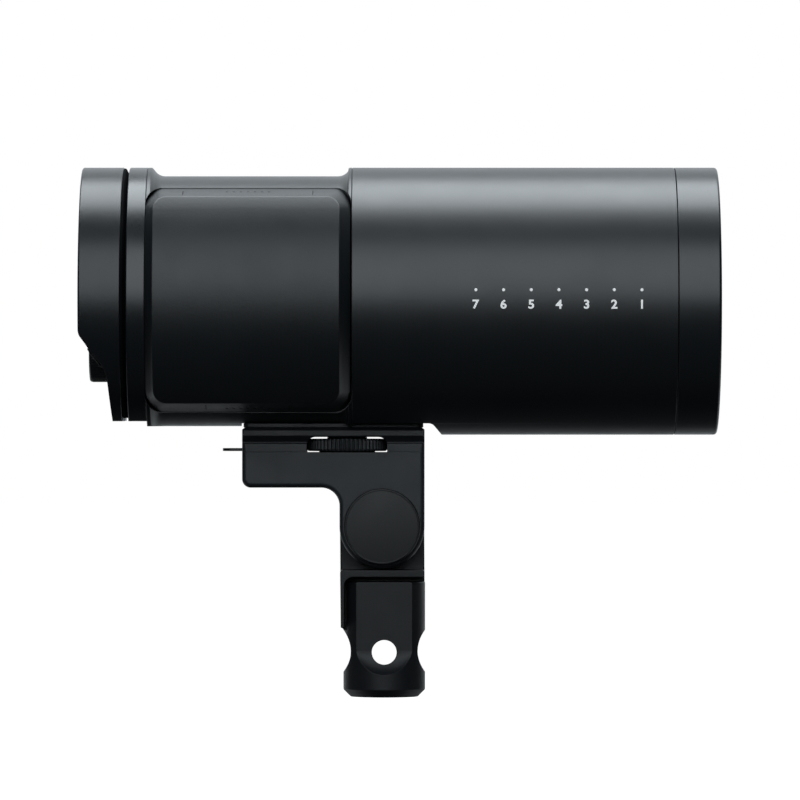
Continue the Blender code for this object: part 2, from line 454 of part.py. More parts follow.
for sign, half_len, tag in ((1, 24.0, "top"), (-1, 15.4, "bottom")):
    boolean(battery, release(sign, half_len, 0.3, 6.0), f"release_{tag}_slot")
    where = (PAD_X, -31.6, AXIS_Z + sign * 39.8)
    make(f"battery_release_{tag}", release(sign, half_len, 0.0, 1.7), BLACK, where, pivot(f"at_release_{tag}", where, bat_at))
base = make("battery_base", prism(rounded(PAD_X - 35.8, PAD_X + 35.8, AXIS_Z - 38.2, AXIS_Z + 38.2, 8.0, 3), "Y", -23.2, -Y_WALL - GAP), BLACK, parent=bat_at)
boolean(base, box(-66.4, -49.6, -25, -15, AXIS_Z - 5.4, AXIS_Z + 5.4), "contact_slot")
for i in range(4):
    z = AXIS_Z + (i - 1.5) * 18.0
    make(f"battery_cell_{i + 1}", lathe([(-82.6, 0), (-82.6, 8.8), (-19.2, 8.8), (-19.2, 3.4), (-18.3, 3.4), (-18.3, 0)], 16, "X", (0, -32.4, z)), CELL, parent=bat_at)
make("battery_board", box(-17.8, -16.5, -34.0, -24.2, AXIS_Z - 27.0, AXIS_Z + 27.0), BOARD, parent=bat_at)

# ---------------------------------------------------------------- electronics
for i, z in ((1, 16.4), (2, -16.4)):
    make(f"capacitor_{i}", lathe([(-83, 0), (-83, 14.6), (-82, 15.5), (-17, 15.5), (-17, 0)], 20, "X", (0, 21.0, AXIS_Z + z)), SLEEVE, parent=head_at)
make("power_board", box(-80, 22, -16.9, -15.3, AXIS_Z - 33, AXIS_Z + 33), BOARD, parent=head_at)
make("inverter_transformer", prism(rounded(-32, -4, AXIS_Z - 13, AXIS_Z + 13, 3.0, 3), "Y", -15.0, 2.0), COPPER, parent=head_at)
sink = make("igbt_heatsink", box(-76, -44, -15.0, -1.0, AXIS_Z - 15, AXIS_Z + 15), ALU, parent=head_at)
for i in range(4):
    boolean(sink, box(-80, -40, -11.5, 3, AXIS_Z - 12.6 + 6.4 * i, AXIS_Z - 9.2 + 6.4 * i + 0.6), f"channel_{i}")
make("control_board", rod("X", -93.6, -92.0, 41.5, 32, C), BOARD, parent=head_at)

# ---------------------------------------------------------------- band and rear cover
band = make("rear_ring", lathe([(-99.4, 46.3), (X_COVER1 + GAP, 46.3), (X_COVER1 + GAP, 49.0), (X_BAND0, 49.0), (X_BAND0, R_BODY), (X_BAND1, R_BODY), (X_BAND1, 43.0), (-99.4, 43.0)], SEG, "X", C), ALU, parent=head_at)
boolean(band, box(-105, -80, -60, 60, 80, Z_REARFLAT), "under")
boolean(band, box(-105, -97.3, -60, 60, 85, 106.1), "neck_flat")
boolean(band, box(-105, -98.1, -60, 60, 85, AXIS_Z - 20.0), "neck_relief")

cover = make("rear_cover", lathe([(X_COVER1, 0), (X_COVER1, R_BODY), (-111.6, R_BODY), (-112.45, 49.6), (X_REAR, 48.7), (X_REAR, 0)], SEG, "X", C), BLACK, parent=head_at)
boolean(cover, box(-120, -90, -60, 60, 80, Z_REARFLAT), "under")
face = [(-113.4, -9.4), (-112.72, -11.8), (-112.2, -13.4), (-108.7, -18.4), (-105.4, -22.4), (-103.7, -25.0), (-102.5, -28.2), (-102.0, -31.0), (-100.8, -46.0)]
boolean(cover, prism([(-130, AXIS_Z - 9.4)] + [(x, AXIS_Z + z) for x, z in face] + [(-100.8, 80), (-130, 80)], "Y", -60, 60), "control_face")
hollow_ob = boolean(cover, rod("X", -109.0, -90, 46.8, SEG, C), "hollow")
boolean(hollow_ob, prism([(-130, AXIS_Z - 8.0)] + [(x + 2.5, AXIS_Z + z + 1.6) for x, z in face] + [(-98.4, 80), (-130, 80)], "Y", -60, 60), "control_wall")
boolean(hollow_ob, box(-120, -80, -60, 60, 80, 105.6), "floor")
boolean(hollow_ob, rod("X", -120, -99.4, R_DIAL + 3.0, 28, (0, 0, DIAL_Z)), "dial_well")
boolean(cover, rod("X", -125, -101.5, R_DIAL + 0.8, 28, (0, 0, DIAL_Z)), "dial_pocket")
boolean(cover, rod("X", -110, -95, 4.0, 14, (0, 0, DIAL_Z)), "shaft_hole")
a = math.degrees(math.asin(-4.3 / 43.8))
boolean(cover, prism([(y, AXIS_Z + z) for y, z in arc(0, 0, 43.8, a, 180 - a, 28)], "X", -116, -111.0), "window_seat")
boolean(cover, box(-115, -105, -25.0, 25.0, AXIS_Z + 3.0, AXIS_Z + 34.0), "lcd_opening")
a = math.degrees(math.asin(-4.0 / 43.5))
make("display_window", prism([(y, AXIS_Z + z) for y, z in arc(0, 0, 43.5, a, 180 - a, 28)], "X", -112.5, -111.3), GLOSS, parent=head_at)
make("lcd_module", box(-110.8, -106.8, -24.6, 24.6, AXIS_Z + 3.4, AXIS_Z + 33.6), GLOSS, parent=head_at)

for name, y in (("power_button", 34.5), ("menu_button", 23.0), ("modeling_light_button", -23.0), ("test_button", -34.5)):
    where = Vector((BUTTON_X, y, BUTTON_Z))
    turn = Vector((0, 0, 1)).rotation_difference(BUTTON_DIR).to_matrix()
    hole = rod("Z", -6, 6, 4.75, 16, (0, 0, 0))
    bmesh.ops.rotate(hole, verts=hole.verts, cent=(0, 0, 0), matrix=turn)
    bmesh.ops.translate(hole, verts=hole.verts, vec=where)
    boolean(cover, hole, f"hole_{name}")
    key = lathe([(-0.9, 0), (-0.9, 3.6), (-0.4, 4.4), (4.4, 4.4), (4.4, 0)], 16, "Z")
    bmesh.ops.rotate(key, verts=key.verts, cent=(0, 0, 0), matrix=turn)
    bmesh.ops.translate(key, verts=key.verts, vec=where)
    make(name, key, RUBBER, where, pivot(f"at_{name}", where, head_at))

D = (0, 0, DIAL_Z)
dial_at = pivot("at_dial_turn", (-106.0, 0, DIAL_Z), head_at)
make("control_dial", lathe([(-110.3, 0), (-110.2, 8.0), (-109.6, 10.8), (-108.6, R_DIAL), (-102.4, R_DIAL), (-102.4, 3.4), (-107.3, 3.4), (-107.3, 0)], 28, "X", D), ALU, (-106.0, 0, DIAL_Z), dial_at)
make("encoder_shaft", rod("X", -107.0, -96.2, 3.0, 12, D), STEEL, (-106.0, 0, DIAL_Z), dial_at)
encoder = make("encoder_body", box(-99.1, -94.2, -6.5, 6.5, DIAL_Z - 6.5, DIAL_Z + 6.5), STEEL, parent=head_at)
boolean(encoder, rod("X", -105, -95.4, 3.4, 12, D), "shaft_hole")
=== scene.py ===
# Looks of the monolight strobe: fine meshes, procedural materials, studio and camera.
# Lengths below are millimetres in the model's own frame; piece() turns them into metres.
import bpy
import bmesh
import math
from mathutils import Matrix, Vector


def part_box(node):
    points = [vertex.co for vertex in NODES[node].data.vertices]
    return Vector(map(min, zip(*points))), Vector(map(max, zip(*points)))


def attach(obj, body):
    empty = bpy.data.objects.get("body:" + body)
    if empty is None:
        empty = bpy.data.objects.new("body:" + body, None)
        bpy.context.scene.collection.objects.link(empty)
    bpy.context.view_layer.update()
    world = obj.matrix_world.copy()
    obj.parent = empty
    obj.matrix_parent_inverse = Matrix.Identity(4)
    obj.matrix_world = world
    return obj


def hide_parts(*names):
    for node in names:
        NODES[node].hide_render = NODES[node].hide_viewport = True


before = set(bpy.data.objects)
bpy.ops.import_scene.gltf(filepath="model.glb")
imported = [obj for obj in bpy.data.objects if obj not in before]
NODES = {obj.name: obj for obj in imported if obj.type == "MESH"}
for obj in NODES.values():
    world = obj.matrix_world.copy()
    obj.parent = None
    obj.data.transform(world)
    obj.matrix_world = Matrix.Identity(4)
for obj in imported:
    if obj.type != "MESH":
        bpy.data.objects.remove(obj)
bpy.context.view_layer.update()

SCENE = bpy.context.scene


def span(node):
    lo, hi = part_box(node)
    return [v * 1000 for v in lo], [v * 1000 for v in hi]


# ------------------------------------------------------------ places, read from the model
(ring_lo, ring_hi), (tube_lo, tube_hi) = span("front_ring"), span("front_tube")
AXIS_Z = 0.5 * (ring_lo[2] + ring_hi[2])
R_BODY = 0.5 * (ring_hi[2] - ring_lo[2])
X_FRONT, X_RING0 = ring_hi[0], tube_hi[0] + 0.22
X_TUBE0, X_TUBE1 = tube_lo[0], tube_hi[0]
X_REAR, X_COVER1 = span("rear_cover")[0][0], span("rear_cover")[1][0]
X_BAND0, X_BAND1 = -95.0, span("rear_ring")[1][0] + 0.9
X_COVEREND = X_COVER1 + 0.5
X_MID0, X_MID1 = span("mid_housing")[0][0], span("mid_housing")[1][0]
Z_REARFLAT = span("rear_cover")[0][2]
Z_MIDFLAT = span("mid_housing")[0][2]
Z_FOOT = span("foot_plate")[1][2] + 0.3
Y_WALL = 21.0
bat_lo, bat_hi = span("battery_cover")
R_PAD = -bat_lo[1]
PAD_X = 0.5 * (bat_lo[0] + bat_hi[0])
PAD_BX, PAD_BZ = 0.5 * (bat_hi[0] - bat_lo[0]), 0.5 * (bat_hi[2] - bat_lo[2])
PAD_HX, PAD_HZ = PAD_BX - 3.2, PAD_BZ - 3.2
dial_lo, dial_hi = span("control_dial")
DIAL_Z, R_DIAL = 0.5 * (dial_lo[2] + dial_hi[2]), 0.5 * (dial_hi[2] - dial_lo[2])
wheel_lo, wheel_hi = span("thumb_wheel")
WHEEL_X, R_WHEEL = 0.5 * (wheel_lo[0] + wheel_hi[0]), 0.5 * (wheel_hi[0] - wheel_lo[0])
PIVOT_X, PIVOT_Z = -0.8, 63.8
R_ARM, R_TONGUE, HALF_W = 15.85, 15.8, 13.5
X_BLOCK0, X_BLOCK1 = span("adapter_plate")[0][0], span("adapter_plate")[1][0]
X_FILLET = PIVOT_X - R_ARM - 6.8
R_STEM, R_SOCKET, SOCKET_DEPTH = 15.3, 8.05, 37.5
FLAT_Y, HOLE_Z, R_HOLE, LOCK_Z = -11.2, 16.8, 4.63, 33.0
BUTTON_DIR = Vector((0.8, 0.0, 0.6))
BUTTON_X, BUTTON_Z = -106.6, AXIS_Z - 21.0
C = (0, 0, AXIS_Z)
P = (PIVOT_X, 0, PIVOT_Z)


# ------------------------------------------------------------ materials
def srgb(v):
    return tuple(((c / 255) / 12.92 if c / 255 <= 0.04045 else ((c / 255 + 0.055) / 1.055) ** 2.4) for c in v)


class Graph:
    """Short names for building a material's nodes."""

    def __init__(self, name):
        self.mat = bpy.data.materials.new(name)
        self.mat.use_nodes = True
        self.t = self.mat.node_tree
        self.bsdf = self.t.nodes["Principled BSDF"]
        self.coord = self.node("ShaderNodeTexCoord").outputs["Object"]

    def node(self, kind, **settings):
        n = self.t.nodes.new(kind)
        for k, v in settings.items():
            setattr(n, k, v)
        return n

    def link(self, a, b):
        self.t.links.new(a, b)

    def set(self, name, value):
        self.bsdf.inputs[name].default_value = value

    def mapped(self, scale):
        m = self.node("ShaderNodeMapping")
        m.inputs["Scale"].default_value = scale
        self.link(self.coord, m.inputs["Vector"])
        return m.outputs["Vector"]

    def noise(self, size_mm, detail=2.0, rough=0.5, stretch=(1, 1, 1)):
        n = self.node("ShaderNodeTexNoise")
        self.link(self.mapped(stretch), n.inputs["Vector"])
        n.inputs["Scale"].default_value = 1000.0 / size_mm
        n.inputs["Detail"].default_value = detail
        n.inputs["Roughness"].default_value = rough
        return n.outputs["Fac"]

    def remap(self, value, a, b, lo=0.3, hi=0.7):
        m = self.node("ShaderNodeMapRange")
        self.link(value, m.inputs["Value"])
        m.inputs["From Min"].default_value, m.inputs["From Max"].default_value = lo, hi
        m.inputs["To Min"].default_value, m.inputs["To Max"].default_value = a, b
        return m.outputs["Result"]

    def mix(self, fac, a, b):
        m = self.node("ShaderNodeMix", data_type="RGBA")
        for v, slot in ((fac, 0), (a, 6), (b, 7)):
            if isinstance(v, bpy.types.NodeSocket):
                self.link(v, m.inputs[slot])
            else:
                m.inputs[slot].default_value = v if slot == 0 else (*v, 1)
        return m.outputs[2]

    def math(self, op, a, b=0.0):
        m = self.node("ShaderNodeMath", operation=op)
        for v, slot in ((a, 0), (b, 1)):
            if isinstance(v, bpy.types.NodeSocket):
                self.link(v, m.inputs[slot])
            else:
                m.inputs[slot].default_value = v
        return m.outputs[0]

    def bump(self, height, depth_mm, strength=1.0, normal=None):
        b = self.node("ShaderNodeBump")
        b.inputs["Distance"].default_value = depth_mm * 0.001
        b.inputs["Strength"].default_value = strength
        self.link(height, b.inputs["Height"])
        if normal is not None:
            self.link(normal, b.inputs["Normal"])
        return b.outputs["Normal"]

    def round_edge(self, mm):
        b = self.node("ShaderNodeBevel", samples=4)
        b.inputs["Radius"].default_value = mm * 0.001
        return b.outputs["Normal"]

    def worn(self, normal):
        """About 1 on edges and 0 on faces."""
        g = self.node("ShaderNodeNewGeometry").outputs["Normal"]
        d = self.node("ShaderNodeVectorMath", operation="DOT_PRODUCT")
        self.link(normal, d.inputs[0])
        self.link(g, d.inputs[1])
        return self.remap(d.outputs["Value"], 1.0, 0.0, 0.90, 0.995)


def surface(name, rgb, rough, metallic=0.0, spec=0.5, grain=0.3, depth=0.010, blotch=0.12,
            edge=0.25, wear=0.25, wear_rgb=None, stretch=(1, 1, 1), rough_swing=0.05, coat=0.0, grain2=None):
    """A solid surface: base colour with large soft variation, fine grain as bump, uneven
    roughness, rounded edges and slightly lighter worn edges."""
    g = Graph(name)
    rgb = srgb(rgb)
    dark = tuple(c * (1 - blotch) for c in rgb)
    light = tuple(c * (1 + blotch) for c in rgb)
    cloud = g.noise(38.0, 3.0, 0.55)
    fine = g.noise(grain, 2.0, 0.6, stretch)
    colour = g.mix(g.remap(cloud, 0, 1), dark, light)
    colour = g.mix(g.math("MULTIPLY", g.remap(fine, 0, 1, 0.25, 0.75), 0.22), colour, tuple(c * 1.6 for c in rgb))
    normal = g.round_edge(edge)
    if wear:
        rim = g.math("MULTIPLY", g.worn(normal), g.remap(g.noise(2.2, 3.0, 0.6), 0.4 * wear, wear, 0.35, 0.65))
        colour = g.mix(rim, colour, wear_rgb and srgb(wear_rgb) or tuple(min(1, c * 3.0 + 0.01) for c in rgb))
    g.link(colour, g.bsdf.inputs["Base Color"])
    r = g.remap(g.noise(14.0, 4.0, 0.6), rough - rough_swing, rough + rough_swing, 0.3, 0.7)
    r = g.math("ADD", r, g.remap(fine, -0.03, 0.03, 0.3, 0.7))
    g.link(r, g.bsdf.inputs["Roughness"])
    g.set("Metallic", metallic)
    g.set("Specular IOR Level", spec)
    g.set("Coat Weight", coat)
    if grain2:
        normal = g.bump(g.noise(grain2, 2.0, 0.5), depth * 1.5, 0.6, normal)
    g.link(g.bump(fine, depth, 1.0, normal), g.bsdf.inputs["Normal"])
    return g.mat


ANODISED = surface("anodised_tube", (20, 24, 27), 0.38, 0.0, 0.62, grain=0.22, depth=0.006, blotch=0.06, edge=0.2, wear=0.15, rough_swing=0.018)
RING = surface("anodised_ring", (21, 25, 28), 0.34, 0.0, 0.58, grain=0.20, depth=0.004, blotch=0.05, edge=0.25, wear=0.2, rough_swing=0.018)
SHINY = surface("polished_ring", (20, 24, 27), 0.30, 0.0, 0.6, grain=0.25, depth=0.003, blotch=0.05, edge=0.25, wear=0.2, rough_swing=0.018)
STEM = surface("blasted_stem", (18, 21, 25), 0.50, 0.0, 0.40, grain=0.26, depth=0.012, blotch=0.10, edge=0.30, wear=0.16)
BLASTED = surface("blasted_adapter", (23, 27, 31), 0.50, 0.0, 0.56, grain=0.26, depth=0.012, blotch=0.10, edge=0.30, wear=0.16)
CAP = surface("turned_cap", (16, 19, 22), 0.44, 0.0, 0.42, grain=0.24, depth=0.008, blotch=0.08, edge=0.25, wear=0.2)
PLASTIC = surface("moulded_plastic", (20, 24, 27), 0.41, 0.0, 0.5, grain=0.34, depth=0.022, blotch=0.07, edge=0.3, wear=0.10, rough_swing=0.025, grain2=0.9)
HOUSING = surface("satin_housing", (20, 24, 27), 0.36, 0.0, 0.55, grain=0.25, depth=0.008, blotch=0.06, edge=0.25, wear=0.10, rough_swing=0.02)
REAR = surface("rear_plastic", (20, 24, 27), 0.33, 0.0, 0.5, grain=0.30, depth=0.014, blotch=0.07, edge=0.3, wear=0.12, rough_swing=0.018)
RUBBER = surface("soft_key", (18, 21, 23), 0.62, 0.0, 0.4, grain=0.4, depth=0.012, blotch=0.08, edge=0.35, wear=0.12)
KNOB = surface("knob_plastic", (22, 25, 28), 0.50, 0.0, 0.45, grain=0.35, depth=0.020, blotch=0.08, edge=0.4, wear=0.18)
GLOSS = surface("display_glass", (7, 7, 8), 0.06, 0.0, 0.55, grain=0.6, depth=0.0004, blotch=0.05, edge=0.2, wear=0.0, rough_swing=0.02, coat=0.6)
STEEL = surface("steel", (168, 170, 174), 0.28, 1.0, 0.5, grain=0.25, depth=0.004, blotch=0.06, edge=0.15, wear=0.0, stretch=(1, 1, 5))
DARKSTEEL = surface("blackened_steel", (36, 37, 39), 0.36, 0.4, 0.6, grain=0.25, depth=0.006, blotch=0.1, edge=0.15, wear=0.35)
BRASS = surface("brass", (205, 170, 105), 0.30, 1.0, 0.5, grain=0.3, depth=0.004, blotch=0.08, edge=0.15, wear=0.0)
MIRROR = surface("reflector", (226, 228, 230), 0.14, 1.0, 0.5, grain=1.2, depth=0.006, blotch=0.04, edge=0.1, wear=0.0)
BOARD = surface("circuit_board", (22, 82, 48), 0.42, 0.0, 0.5, grain=0.8, depth=0.006, blotch=0.25, edge=0.1, wear=0.1)
SLEEVE = surface("capacitor_sleeve", (36, 42, 66), 0.38, 0.0, 0.5, grain=0.8, depth=0.006, blotch=0.1, edge=0.2, wear=0.1)
CELL = surface("cell_wrap", (48, 112, 160), 0.34, 0.0, 0.5, grain=0.8, depth=0.004, blotch=0.08, edge=0.2, wear=0.1)
COPPER = surface("winding", (180, 98, 58), 0.34, 0.85, 0.5, grain=0.5, depth=0.02, blotch=0.15, edge=0.1, wear=0.0, stretch=(5, 1, 1))
CERAMIC = surface("ceramic", (226, 222, 212), 0.48, 0.0, 0.5, grain=0.5, depth=0.006, blotch=0.05, edge=0.2, wear=0.1)
LED = surface("led_phosphor", (236, 205, 70), 0.40, 0.0, 0.5, grain=0.6, depth=0.01, blotch=0.08, edge=0.1, wear=0.0)
INK_WITH_PAINTED_GLOW = surface("white_ink_painted_glow", (250, 252, 252), 0.5, 0.0, 0.4, grain=0.2, depth=0.001, blotch=0.02, edge=0.02, wear=0.0)
# The faint emission below is painted light: the printed scale glows a little, so it reads brighter than the lamps alone
# make it.
INK_WITH_PAINTED_GLOW.node_tree.nodes["Principled BSDF"].inputs["Emission Color"].default_value = (1, 1, 1, 1)
INK_WITH_PAINTED_GLOW.node_tree.nodes["Principled BSDF"].inputs["Emission Strength"].default_value = 0.25
# Near black with almost no sheen: this gasket finish is partly painted shade, keeping the rear groove dark under the
# top light.
GASKET_PAINTED_SHADE = surface("groove_gasket_painted_shade", (8, 10, 12), 0.8, 0.0, 0.03, grain=0.4, depth=0.01, blotch=0.08, edge=0.2, wear=0.0)
SEAL = surface("black_seal", (20, 20, 21), 0.7, 0.0, 0.35, grain=0.4, depth=0.02, blotch=0.08, edge=0.2, wear=0.05)


def glass(name, rgb, rough, cells_mm=None, depth=0.05):
    g = Graph(name)
    g.set("Base Color", (*srgb(rgb), 1))
    g.set("Transmission Weight", 0.92)
    g.set("IOR", 1.47)
    soft = g.noise(0.5, 3.0, 0.6)
    g.link(g.remap(soft, rough - 0.06, rough + 0.06), g.bsdf.inputs["Roughness"])
    h = soft
    if cells_mm:
        v = g.node("ShaderNodeTexVoronoi", feature="SMOOTH_F1")
        v.inputs["Scale"].default_value = 1000.0 / cells_mm
        v.inputs["Randomness"].default_value = 0.25
        g.link(g.coord, v.inputs["Vector"])
        h = v.outputs["Distance"]
    g.link(g.bump(h, depth, 0.7), g.bsdf.inputs["Normal"])
    return g.mat


FROSTED = glass("frosted_glass", (232, 236, 236), 0.34, 1.6, 0.12)
CLEAR = glass("quartz", (240, 243, 245), 0.06)


def dial_metal():
    """Turned aluminium: fine rings round the dial's own axis."""
    g = Graph("turned_dial")
    offset = g.node("ShaderNodeVectorMath", operation="SUBTRACT")
    g.link(g.coord, offset.inputs[0])
    offset.inputs[1].default_value = (0, 0, DIAL_Z * 0.001)
    flat = g.node("ShaderNodeVectorMath", operation="MULTIPLY")
    g.link(offset.outputs[0], flat.inputs[0])
    flat.inputs[1].default_value = (0, 1, 1)
    length = g.node("ShaderNodeVectorMath", operation="LENGTH")
    g.link(flat.outputs[0], length.inputs[0])
    rings = g.math("SINE", g.math("MULTIPLY", length.outputs["Value"], 2 * math.pi / 0.00035))
    cloud = g.noise(9.0, 3.0)
    g.link(g.mix(g.remap(cloud, 0, 1), srgb((28, 30, 32)), srgb((36, 38, 41))), g.bsdf.inputs["Base Color"])
    g.link(g.remap(g.noise(2.0, 3.0), 0.26, 0.38), g.bsdf.inputs["Roughness"])
    g.set("Specular IOR Level", 0.7)
    g.link(g.bump(rings, 0.004, 0.5, g.round_edge(0.3)), g.bsdf.inputs["Normal"])
    return g.mat


DIAL = dial_metal()


# ------------------------------------------------------------ mesh helpers
def arc(cx, cz, r, a0, a1, n):
    return [(cx + r * math.cos(math.radians(a0 + (a1 - a0) * i / n)), cz + r * math.sin(math.radians(a0 + (a1 - a0) * i / n))) for i in range(n + 1)]


def fillet(pts, radii, n=6, closed=True):
    """Rounds the corners of an outline. radii is one number or one for each corner."""
    if not isinstance(radii, (list, tuple)):
        radii = [radii] * len(pts)
    out = []
    for i, (p, r) in enumerate(zip(pts, radii)):
        if not closed and i in (0, len(pts) - 1) or r <= 0:
            out.append(tuple(p))
            continue
        p = Vector(p)
        a, b = Vector(pts[i - 1]) - p, Vector(pts[(i + 1) % len(pts)]) - p
        la, lb = a.length, b.length
        a.normalize()
        b.normalize()
        half = 0.5 * a.angle(b)
        if half > math.radians(89.5):
            out.append(tuple(p))
            continue
        d = min(r / math.tan(half), 0.49 * la, 0.49 * lb)
        r = d * math.tan(half)
        centre = p + (a + b).normalized() * (r / math.sin(half))
        s, e = p + a * d - centre, p + b * d - centre
        turn = s.angle_signed(e)
        for k in range(n + 1):
            t = -turn * k / n
            out.append((centre.x + s.x * math.cos(t) - s.y * math.sin(t), centre.y + s.x * math.sin(t) + s.y * math.cos(t)))
    return out


def lathe(profile, seg, axis="X", centre=(0, 0, 0), ripple=None):
    """A turned solid, from the axis back to the axis or round a closed loop."""
    bm = bmesh.new()
    along, out, side = {"X": ((1, 0, 0), (0, 0, 1), (0, 1, 0)), "Y": ((0, 1, 0), (1, 0, 0), (0, 0, 1)), "Z": ((0, 0, 1), (1, 0, 0), (0, 1, 0))}[axis]
    along, out, side, centre = Vector(along), Vector(out), Vector(side), Vector(centre)
    clean = [profile[0]]
    for q in profile[1:]:
        if math.dist(q, clean[-1]) > 1e-5:
            clean.append(q)
    rings = []
    for a, r in clean:
        if abs(r) < 1e-9:
            rings.append([bm.verts.new(centre + along * a)])
            continue
        ring = []
        for i in range(seg):
            t = 2 * math.pi * i / seg
            rr = r if ripple is None else ripple(a, r, i)
            ring.append(bm.verts.new(centre + along * a + out * (rr * math.cos(t)) + side * (rr * math.sin(t))))
        rings.append(ring)
    pairs = list(zip(rings, rings[1:]))
    if not (len(rings[0]) == 1 and len(rings[-1]) == 1):
        pairs.append((rings[-1], rings[0]))
    for a, b in pairs:
        for i in range(seg):
            j = (i + 1) % seg
            if len(a) == 1 and len(b) == 1:
                break
            if len(a) == 1:
                bm.faces.new((a[0], b[i], b[j]))
            elif len(b) == 1:
                bm.faces.new((a[i], a[j], b[0]))
            else:
                bm.faces.new((a[i], a[j], b[j], b[i]))
    return bm


def rod(axis, lo, hi, r, seg, centre, edge=0.0, n=3):
    return lathe(fillet([(lo, 0), (lo, r), (hi, r), (hi, 0)], [0, edge, edge, 0], n, closed=False), seg, axis, centre)


def prism(pts, axis, lo, hi):
    bm = bmesh.new()
    place = {"X": lambda p, w: (w, p[0], p[1]), "Y": lambda p, w: (p[0], w, p[1]), "Z": lambda p, w: (p[0], p[1], w)}[axis]
    clean = []
    for q in pts:
        if not clean or math.dist(q, clean[-1]) > 1e-4:
            clean.append(q)
    if math.dist(clean[0], clean[-1]) < 1e-4:
        clean.pop()
    a = [bm.verts.new(place(p, lo)) for p in clean]
    b = [bm.verts.new(place(p, hi)) for p in clean]
    bm.faces.new(a)
    bm.faces.new(b[::-1])
    for i in range(len(a)):
        j = (i + 1) % len(a)
        bm.faces.new((a[i], a[j], b[j], b[i]))
    return bm


def box(x0, x1, y0, y1, z0, z1):
    return prism([(x0, y0), (x1, y0), (x1, y1), (x0, y1)], "Z", z0, z1)


def rounded(x0, x1, z0, z1, r, n=8):
    return fillet([(x0, z0), (x1, z0), (x1, z1), (x0, z1)], r, n)


def to_object(name, bm):
    bmesh.ops.recalc_face_normals(bm, faces=bm.faces)
    bmesh.ops.scale(bm, verts=bm.verts, vec=(0.001,) * 3)
    me = bpy.data.meshes.new(name)
    bm.to_mesh(me)
    bm.free()
    ob = bpy.data.objects.new(name, me)
    SCENE.collection.objects.link(ob)
    return ob


def bevel(ob, width, segments=3, angle=40.0):
    m = ob.modifiers.new("bevel", "BEVEL")
    m.width = width * 0.001
    m.segments = segments
    m.limit_method = "ANGLE"
    m.angle_limit = math.radians(angle)
    m.miter_outer = "MITER_ARC"
    m.use_clamp_overlap = True
    return ob


def cut(ob, *cutters, operation="DIFFERENCE"):
    """One exact Boolean with every cutter, applied at once."""
    bake(ob)
    group = bpy.data.collections.new("cutters")
    tools = []
    for i, c in enumerate(cutters):
        tool = c if isinstance(c, bpy.types.Object) else to_object(f"tool_{i}", c)
        group.objects.link(tool)
        tools.append(tool)
    m = ob.modifiers.new("cut", "BOOLEAN")
    m.operation = operation
    m.solver = "EXACT"
    m.operand_type = "COLLECTION"
    m.collection = group
    bake(ob)
    for tool in tools:
        bpy.data.objects.remove(tool)
    bpy.data.collections.remove(group)
    return ob


def bake(ob):
    """Applies the modifiers."""
    if not ob.modifiers:
        return ob
    bpy.context.view_layer.update()
    done = bpy.data.meshes.new_from_object(ob.evaluated_get(bpy.context.evaluated_depsgraph_get()))
    ob.modifiers.clear()
    old = ob.data
    ob.data = done
    bpy.data.meshes.remove(old)
    return ob


def piece(thing, name, body, replaced, mat, smooth=32.0):
    """Turns a mesh into a piece of the object."""
    ob = thing if isinstance(thing, bpy.types.Object) else to_object(name, thing)
    bake(ob)
    ob.name = name
    ob.data.name = name
    bm = bmesh.new()
    bm.from_mesh(ob.data)
    bmesh.ops.remove_doubles(bm, verts=bm.verts, dist=2e-6)
    bmesh.ops.dissolve_degenerate(bm, edges=bm.edges, dist=1e-6)
    bm.to_mesh(ob.data)
    bm.free()
    ob.data.materials.clear()
    ob.data.materials.append(mat)
    ob.data.shade_smooth()
    ob.data.set_sharp_from_angle(angle=math.radians(smooth))
    even = ob.modifiers.new("even_shading", "WEIGHTED_NORMAL")
    even.mode = "FACE_AREA"
    even.keep_sharp = True
    bake(ob)
    ob.data.name = name
    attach(ob, body)
    if replaced:
        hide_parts(*([replaced] if isinstance(replaced, str) else replaced))
    return ob


FINE = 224

# ------------------------------------------------------------ lamp tube
tube = to_object("front_tube", lathe(fillet([(X_MID1 + 0.03, 0), (X_MID1 + 0.03, R_BODY), (X_TUBE1, R_BODY), (X_TUBE1, 0)], [0, 0.35, 0.22, 0], 4, closed=False), FINE, "X", C))
RAMP = [(-14, 80), (-14, Z_FOOT)] + fillet([(15.0, Z_FOOT), (17.9, Z_FOOT), (21.6, 97.9), (26.5, 95.0)], [0, 3.2, 0, 0], 8, closed=False) + [(26.5, 80)]
bore = to_object("tool_bore", rod("X", X_TUBE0 - 5, X_TUBE1 + 5, 47.5, 96, C))
cut(bore, box(-30, 27.0, -60, 60, 80, 105.0))
cut(tube, prism(RAMP, "Y", -60, 60), bore)
bevel(tube, 0.3, 2, 45)
piece(tube, "lamp_tube", "head", "front_tube", ANODISED)

# front ring: rounded lip and a step down to the glass
ring = fillet([(X_RING0, R_BODY), (X_FRONT, R_BODY), (X_FRONT, 45.7), (122.5, 45.7), (122.5, 47.0), (112.0, 47.0), (112.0, 45.2), (102.5, 45.2), (102.5, 47.2), (X_RING0, 47.2)],
              [0.22, 1.1, 0.6, 0.15, 0, 0, 0, 0, 0, 0], 5)
piece(lathe(ring, FINE, "X", C), "front_ring", "head", "front_ring", RING)

# frosted glass, a shallow dome with a ground edge
dome = [(119.55, 0), (119.55, 46.3), (119.8, 46.6)] + [(121.9 + 1.9 * (1 - (r / 46.6) ** 2), r) for r in (46.6, 44, 40, 35, 29, 22, 15, 8)] + [(123.8, 0)]
piece(lathe(dome, 160, "X", C), "front_glass", "head", "front_glass", FROSTED)
piece(lathe(fillet([(117.75, 44.4), (117.75, 46.7), (119.2, 46.7), (119.2, 44.4)], 0.5, 4), 128, "X", C), "glass_seal", "head", "glass_seal", SEAL)

